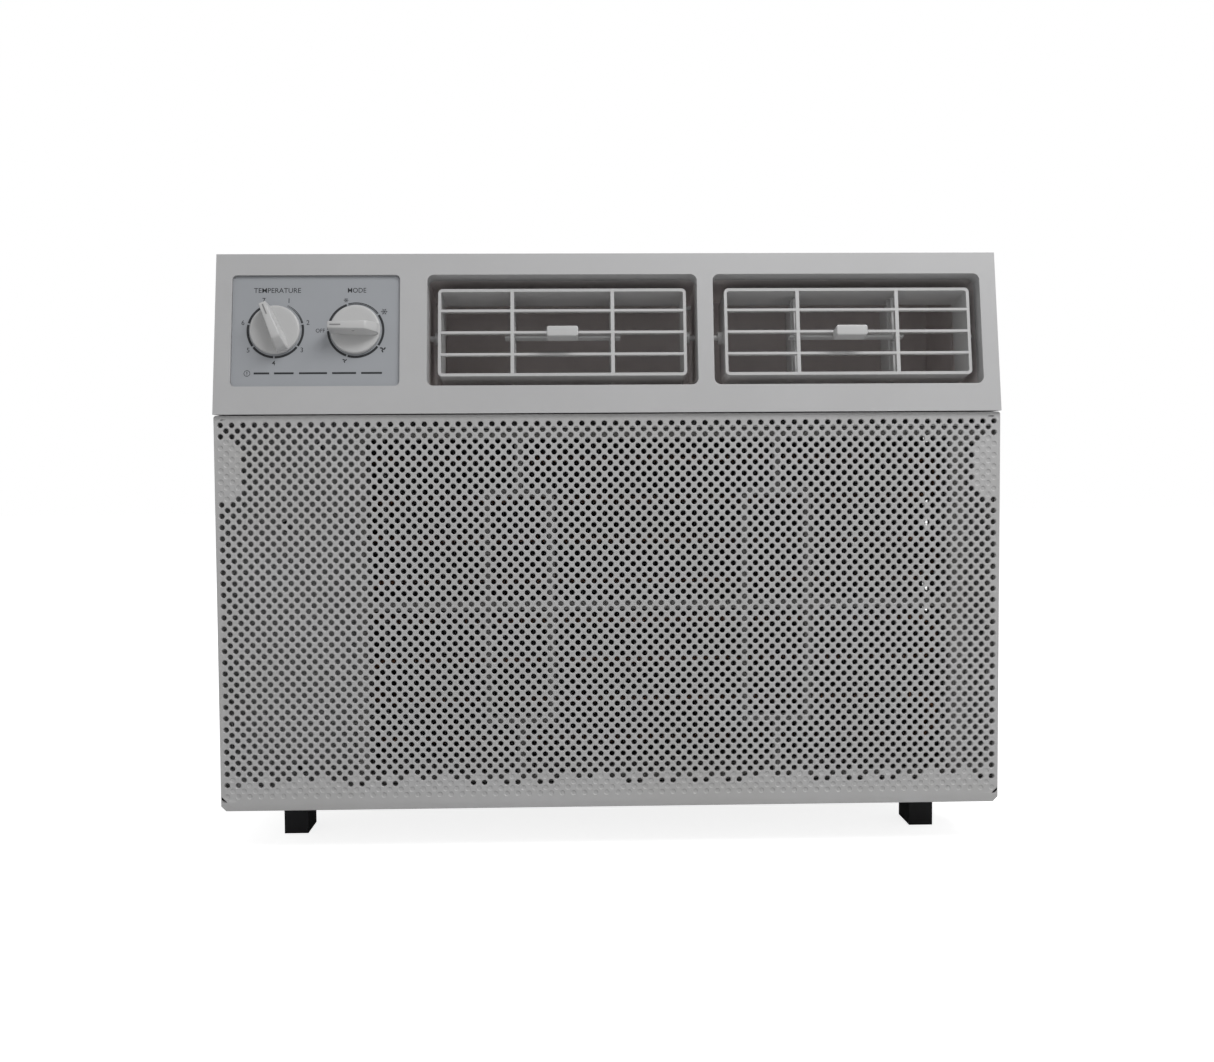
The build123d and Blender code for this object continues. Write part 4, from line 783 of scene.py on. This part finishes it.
def placeDial(points, x, pointer):
    turn = radians(pointer)
    p, q, n = np.asarray(points).T
    across = x + p * cos(turn) - q * sin(turn)
    up = dial["s"] + p * sin(turn) + q * cos(turn)
    return onFascia(across, up, dial["baseN"] + n)


for label, (x, pointer, body, node) in dial["places"].items():
    skirt, grip = dialSkirt(), dialGrip()
    points, faces = joined([skirt, grip])
    mesh = makeMesh(f"dial{label}", placeDial(points, x, pointer), faces, sharpAngle=40)
    addPiece(f"dial{label}", mesh, body, "knob", replaces=(node,))
    # the pointer line is a thin strip painted darker grey, painted shade in place of the shadow that
    # shows the line on the grip
    start, end, half = dial["mark"]
    inlaid = (dial["height"] - 0.1, dial["height"] + 0.12)
    points, faces = blockPart((start, end), (-half, half), inlaid)
    mesh = makeMesh(f"pointer{label}", placeDial(points, x, pointer), faces)
    addPiece(f"pointer{label}", mesh, body, "knob", "pointerPaintedShade")
print("dials made")

# ---- marks printed on the control plate
legend = {
    "low": fascia["plateN"] - 0.01,
    "high": fascia["plateN"] + 0.05,
    "ringR": (15.7, 17.1),
    "gap": 1.6,
    "numberR": 19.9,
    "numberH": 2.9,
    "numbers": {"1": 23, "2": 76, "3": 127, "4": 182, "5": 233, "6": 284, "7": 339},
    "modeStops": (270, 342, 54, 126, 198),
    # words, middle across and up, width and height
    "headings": (
        ("TEMPERATURE", -198.5, 76.0, 28.0, 3.0),
        ("MODE", -151.0, 76.0, 11.0, 3.0),
        ("OFF", -172.6, 51.2, 5.4, 2.4),
    ),
    "wordBars": ((-211.6, 9.2), (-199.6, 11.6), (-184.8, 16.6), (-165.2, 14.2), (-148.0, 12.4)),
    "barS": 25.2,
    "barH": 1.15,
}


def arcBand(x, start, end, inner, outer, steps=40):
    # a flat band between two radii that may change along it; angles clockwise from the top
    share = np.linspace(0, 1, steps)
    angle = np.radians(90 - (start + (end - start) * share))
    inner = inner[0] + (inner[1] - inner[0]) * share
    outer = outer[0] + (outer[1] - outer[0]) * share
    corners = []
    low, high = legend["low"], legend["high"]
    for radius, n in ((inner, low), (outer, low), (outer, high), (inner, high)):
        corners.append(onFascia(x + radius * np.cos(angle), dial["s"] + radius * np.sin(angle), n))
    points = np.stack(corners, 1).reshape(-1, 3)
    faces = gridFaces(steps, 4, wrapCols=True)
    return points, faces + [[0, 1, 2, 3], list(range((steps - 1) * 4, steps * 4))[::-1]]


def flatShape(outline):
    return prismPart(outline, legend["low"], legend["high"], onFascia)


def wordShape(words, x, s, width, height):
    # letters as a mesh, fitted to a width and height round a middle point
    curve = bpy.data.curves.new(words, "FONT")
    curve.body = words
    curve.extrude = 0.03
    curve.offset = 0.002
    curve.resolution_u = 3
    holder = bpy.data.objects.new(words, curve)
    bpy.context.scene.collection.objects.link(holder)
    shaped = holder.evaluated_get(bpy.context.evaluated_depsgraph_get())
    mesh = bpy.data.meshes.new_from_object(shaped)
    points = np.zeros(len(mesh.vertices) * 3)
    mesh.vertices.foreach_get("co", points)
    points = points.reshape(-1, 3)
    faces = [list(face.vertices) for face in mesh.polygons]
    bpy.data.objects.remove(holder)
    bpy.data.meshes.remove(mesh)
    low, high = points.min(0), points.max(0)
    share = (points - (low + high) / 2) / np.maximum(high - low, 1e-9)
    if width is None:
        width = height * (high[0] - low[0]) / (high[1] - low[1])
    middle, half = (legend["low"] + legend["high"]) / 2, (legend["high"] - legend["low"])
    return onFascia(x + share[:, 0] * width, s + share[:, 1] * height, middle + share[:, 2] * half), faces


def dialPoint(x, degrees, radius):
    angle = radians(90 - degrees)
    return x + radius * cos(angle), dial["s"] + radius * sin(angle)


def snowflake(x, s, radius):
    # three crossed bars with a short bar near each end
    parts = []
    for k in range(6):
        turn = radians(60 * k)
        along = np.array([cos(turn), sin(turn)])
        across = np.array([-sin(turn), cos(turn)])
        for start, end, half in ((0.0, 1.0, 0.07), (0.58, 0.7, 0.3)):
            corners = [along * start - across * half, along * end - across * half,
                       along * end + across * half, along * start + across * half]
            parts.append(flatShape(np.array([x, s]) + np.array(corners) * radius))
    return joined(parts)


def fanBlades(x, s, radius):
    # three petals round a hub
    turn = np.linspace(0, 2 * np.pi, 14, endpoint=False)
    parts = []
    for k in range(3):
        lean = radians(120 * k + 20)
        petal = np.stack([0.56 + 0.44 * np.cos(turn), 0.27 * np.sin(turn) + 0.2 * np.cos(turn)], -1)
        p = petal[:, 0] * cos(lean) - petal[:, 1] * sin(lean)
        q = petal[:, 0] * sin(lean) + petal[:, 1] * cos(lean)
        parts.append(flatShape(np.stack([x + p * radius, s + q * radius], -1)))
    hub = np.stack([x + 0.2 * radius * np.cos(turn), s + 0.2 * radius * np.sin(turn)], -1)
    return joined(parts + [flatShape(hub)])


def legendParts():
    inner, outer = legend["ringR"]
    gap = legend["gap"]
    temperatureX, modeX = (dial["places"][key][0] for key in ("Temperature", "Mode"))
    stops = sorted(legend["numbers"].values())
    parts = []
    for start, end in zip(stops[1:-1], stops[2:]):
        parts.append(arcBand(temperatureX, start + gap, end - gap, (inner, inner), (outer, outer)))
    parts.append(arcBand(temperatureX, stops[0] + gap, stops[1] - gap, (16.75, 16.5), (17.0, 17.1)))
    parts.append(arcBand(temperatureX, stops[0] + gap, stops[1] - gap, (16.1, 15.9), (16.3, 16.45)))
    modeStops = legend["modeStops"]
    for k, start in enumerate(modeStops):
        end = modeStops[(k + 1) % len(modeStops)]
        end += 360 if end < start else 0
        if start == 342:
            parts.append(arcBand(modeX, start + gap, end - gap, (16.6, 16.6), (17.1, 17.1)))
            parts.append(arcBand(modeX, start + gap, end - gap, (15.9, 15.9), (16.35, 16.4)))
        else:
            parts.append(arcBand(modeX, start + gap, end - gap, (inner, inner), (outer, outer)))
    for number, degrees in legend["numbers"].items():
        x, s = dialPoint(temperatureX, degrees, legend["numberR"])
        parts.append(wordShape(number, x, s, None, legend["numberH"]))
    for words, x, s, width, height in legend["headings"]:
        parts.append(wordShape(words, x, s, width, height))
    parts.append(snowflake(*dialPoint(modeX, 342, 19.4), 1.5))
    parts.append(snowflake(*dialPoint(modeX, 56, 20.3), 2.0))
    parts.append(fanBlades(*dialPoint(modeX, 126, 20.0), 2.0))
    parts.append(fanBlades(*dialPoint(modeX, 199, 19.6), 1.45))
    for start, length in legend["wordBars"]:
        low, high = legend["barS"] - legend["barH"] / 2, legend["barS"] + legend["barH"] / 2
        end = start + length
        parts.append(flatShape([(start, low), (end, low), (end, high), (start, high)]))
    return parts


def noteSign(x, s, radius):
    # a small ring with an upright stroke and a dot
    turn = np.linspace(0, 2 * np.pi, 36, endpoint=False)
    rings = []
    low, high, inner = legend["low"], legend["high"], radius - 0.3
    for r, n in ((inner, low), (radius, low), (radius, high), (inner, high)):
        rings.append(onFascia(x + r * np.cos(turn), s + r * np.sin(turn), n))
    ring = np.concatenate(rings), gridFaces(4, len(turn), wrapRows=True, wrapCols=True)
    bars = []
    for half, start, end in ((0.2, -0.25, 1.15), (0.22, -1.1, -0.65)):
        left, right, foot, top = x - half, x + half, s + start, s + end
        bars.append(flatShape([(left, foot), (right, foot), (right, top), (left, top)]))
    return joined([ring, *bars])


points, faces = joined(legendParts() + [noteSign(-215.6, legend["barS"], 1.9)])
addPiece("plateMarks", makeMesh("plateMarks", points, faces), "housing", "control_plate", "printInk")
print("plate marks made")

# ---- coils: thin rippled fins where the CAD has a few thick ones
coils = {
    "evaporatorFinPack": {"node": "evaporator_fins", "pitch": 1.8},
    "condenserFinPack": {"node": "condenser_fins", "pitch": 1.9},
}
fin = {"thick": 0.14, "ripple": 0.22, "steps": 9}


def finPack(look):
    # each fin is a thin closed strip, rippled from front to rear and carried up
    low, high = (np.array(corner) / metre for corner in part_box(look["node"]))
    count = int((high[0] - low[0] - 1) / look["pitch"])
    places = low[0] + 0.6 + look["pitch"] * np.arange(count + 1)
    y = np.linspace(low[1], high[1], fin["steps"])
    ripple = fin["ripple"] * np.where(np.arange(fin["steps"]) % 2, 1.0, -1.0)
    outlineX = np.concatenate([ripple - fin["thick"] / 2, (ripple + fin["thick"] / 2)[::-1]])
    outlineY = np.concatenate([y, y[::-1]])
    ring = len(outlineX)
    x = places[:, None, None] + outlineX[None, None]
    z = np.array([low[2], high[2]])[None, :, None]
    x, yy, z = np.broadcast_arrays(x, outlineY[None, None], z)
    points = np.stack([x, yy, z], -1).reshape(-1, 3)
    one = gridFaces(2, ring, wrapCols=True) + [list(range(ring))[::-1], list(range(ring, 2 * ring))]
    faces = [[index + 2 * ring * k for index in face] for k in range(len(places)) for face in one]
    return points, faces


for name, look in coils.items():
    points, faces = finPack(look)
    mesh = makeMesh(name, points, faces, merge=False, sharpAngle=15)
    addPiece(name, mesh, "housing", "fins", replaces=(look["node"],))
print("fin packs made")

# ---- screws with a cross recess, on the cabinet's sides and behind the grille
sideScrewY = (-90.0, 40.0, 170.0)
frontScrewXZ = ((-176, 245), (-198, 196), (-191, 46), (219, 53))
screws = {
    "cabinetScrewHeads": {
        "node": "cabinet_screws", "radius": 3.6, "height": 2.3, "shankR": 1.7,
        "places": [((side * 229.0, y, 37.5), (side, 0, 0)) for side in (-1, 1) for y in sideScrewY],
    },
    "frontScrewHeads": {
        "node": "front_screws", "radius": 3.2, "height": 2.3, "shankR": 1.7,
        "places": [((x, -155.4, z), (0, -1, 0)) for x, z in frontScrewXZ],
    },
}


def screwHead(look, place, outward):
    # rings out from the middle of a low dome; the dome sinks where it meets a cross
    rings, steps, shankLength, tiny = 11, 48, 7.0, 1e-4
    share = np.linspace(tiny, 1, rings)[:, None]
    turn = np.linspace(0, 2 * np.pi, steps, endpoint=False)[None]
    a, b = share * np.cos(turn), share * np.sin(turn)
    dome = look["height"] * (0.35 + 0.65 * np.sqrt(np.clip(1 - 0.92 * share**2, 0, 1))) + 0 * turn
    nearArm = np.clip((0.2 - np.minimum(abs(a), abs(b))) / 0.1, 0, 1)
    withinArm = np.clip((0.62 - np.maximum(abs(a), abs(b))) / 0.12, 0, 1)
    dome = dome - 0.6 * look["height"] * nearArm * withinArm
    neck = look["shankR"] / look["radius"]
    tail = [(1.0, 0.0), (neck, 0.0), (neck, -shankLength), (tiny, -shankLength)]
    a = np.concatenate([a] + [r * np.cos(turn) for r, h in tail])
    b = np.concatenate([b] + [r * np.sin(turn) for r, h in tail])
    rise = np.concatenate([dome] + [np.full((1, steps), h) for r, h in tail])
    outward = np.array(outward, float)
    sideways = np.array([0.0, 0.0, 1.0])
    across = np.cross(sideways, outward)
    points = (np.array(place) + outward * rise[..., None]
              + (across * a[..., None] + sideways * b[..., None]) * look["radius"])
    return points.reshape(-1, 3), gridFaces(rings + len(tail), steps, wrapCols=True)


for name, look in screws.items():
    points, faces = joined([screwHead(look, *place) for place in look["places"]])
    mesh = makeMesh(name, points, faces, sharpAngle=40)
    addPiece(name, mesh, "housing", "screw", replaces=(look["node"],))
print("screw heads made")

# ---- filter cloth: crossing threads
net = {"pitch": 1.9, "thread": 0.3}


def netThreads():
    # square threads in two layers, one set upright and one level
    low, high = (np.array(corner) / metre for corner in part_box("filter_mesh"))
    half = net["thread"] / 2
    middleY = (low[1] + high[1]) / 2
    x = np.arange(low[0] + 1, high[0] - 1, net["pitch"])
    z = np.arange(low[2] + 1, high[2] - 1, net["pitch"])
    middleX, middleZ = (low[0] + high[0]) / 2, (low[2] + high[2]) / 2
    corners, faces = blockPart((-1, 1), (-1, 1), (-1, 1))
    upright = corners[None] * [half, half, (high[2] - low[2]) / 2]
    uprightAt = np.array([(place, middleY - half, middleZ) for place in x])
    level = corners[None] * [(high[0] - low[0]) / 2, half, half]
    levelAt = np.array([(middleX, middleY + half * 0.6, place) for place in z])
    points = np.concatenate([upright + uprightAt[:, None], level + levelAt[:, None]]).reshape(-1, 3)
    count = len(corners)
    threads = range(len(x) + len(z))
    return points, [[index + count * k for index in face] for k in threads for face in faces]


points, faces = netThreads()
mesh = makeMesh("filterNet", points, faces, merge=False)
addPiece("filterNet", mesh, "filter", "filter_mesh", replaces=("filter_mesh",))
print("filter net made")

# ---- stage, lights and camera
studio = {
    "floorHalf": 6.0,
    "floorColour": (0.66, 0.66, 0.66, 1),
    "floorGlow": (0.0, 0.85),
    "sky": (0.325, 1.0),
    "lights": {
        "key": {"place": (0.50, -0.80, 1.20), "target": (0.08, -0.15, 0.26),
                "size": (0.8, 0.5), "power": 9.1},
        "fill": {"place": (-1.3, -0.9, 0.7), "target": (0, 0, 0.2),
                 "size": (0.8, 0.8), "power": 1.5},
        "back": {"place": (0.2, 1.5, 1.4), "target": (0, 0.1, 0.2),
                 "size": (1.0, 0.8), "power": 8.0},
    },
}


def seenGlow(tree, socket, levels):
    # the first level lights the object, the second is what the camera sees
    path = tree.nodes.new("ShaderNodeLightPath")
    level = tree.nodes.new("ShaderNodeMapRange")
    level.inputs["To Min"].default_value, level.inputs["To Max"].default_value = levels
    tree.links.new(path.outputs["Is Camera Ray"], level.inputs["Value"])
    tree.links.new(level.outputs["Result"], socket)


half = studio["floorHalf"]
floorMesh = bpy.data.meshes.new("floor")
floorCorners = [(-half, -half, 0), (half, -half, 0), (half, half, 0), (-half, half, 0)]
floorMesh.from_pydata(floorCorners, [], [(0, 1, 2, 3)])
floor = bpy.data.objects.new("floor", floorMesh)
bpy.context.scene.collection.objects.link(floor)
paper = bpy.data.materials.new("paleFloor")
paper.use_nodes = True
paperShader = paper.node_tree.nodes["Principled BSDF"]
paperShader.inputs["Base Color"].default_value = studio["floorColour"]
paperShader.inputs["Roughness"].default_value = 0.8
paperShader.inputs["Emission Color"].default_value = (1, 1, 1, 1)
seenGlow(paper.node_tree, paperShader.inputs["Emission Strength"], studio["floorGlow"])
floorMesh.materials.append(paper)

world = bpy.data.worlds.new("studio")
bpy.context.scene.world = world
world.use_nodes = True
sky = world.node_tree
background = sky.nodes["Background"]
background.inputs["Color"].default_value = (1, 1, 1, 1)
seenGlow(sky, background.inputs["Strength"], studio["sky"])

for name, look in studio["lights"].items():
    light = bpy.data.lights.new(name, "AREA")
    light.shape = "RECTANGLE"
    light.size, light.size_y = look["size"]
    light.energy = look["power"]
    lamp = bpy.data.objects.new(name, light)
    bpy.context.scene.collection.objects.link(lamp)
    lamp.location = look["place"]
    aim = Vector(look["target"]) - Vector(look["place"])
    lamp.rotation_euler = aim.to_track_quat("-Z", "Y").to_euler()

# the camera's place in metres, its turn in degrees and its lens in mm
view = {
    "place": (-0.0231, -0.9827, 0.2302),
    "yaw": 1.508,
    "pitch": -2.692,
    "roll": -0.376,
    "lens": 39.38,
}
yaw, pitch, roll = (radians(view[key]) for key in ("yaw", "pitch", "roll"))
forward = Vector((sin(yaw) * cos(pitch), cos(yaw) * cos(pitch), sin(pitch)))
level = Vector((cos(yaw), -sin(yaw), 0))
upright = level.cross(forward)
right = level * cos(roll) + upright * sin(roll)
up = upright * cos(roll) - level * sin(roll)
camera = bpy.data.objects.new("camera", bpy.data.cameras.new("camera"))
bpy.context.scene.collection.objects.link(camera)
camera.data.sensor_width = 36
camera.data.lens = view["lens"]
camera.data.clip_start = 0.01
turned = Matrix((right, up, -forward)).transposed().to_4x4()
camera.matrix_world = Matrix.Translation(Vector(view["place"])) @ turned
bpy.context.scene.camera = camera
bpy.context.scene.view_settings.view_transform = "Standard"
print("stage set")
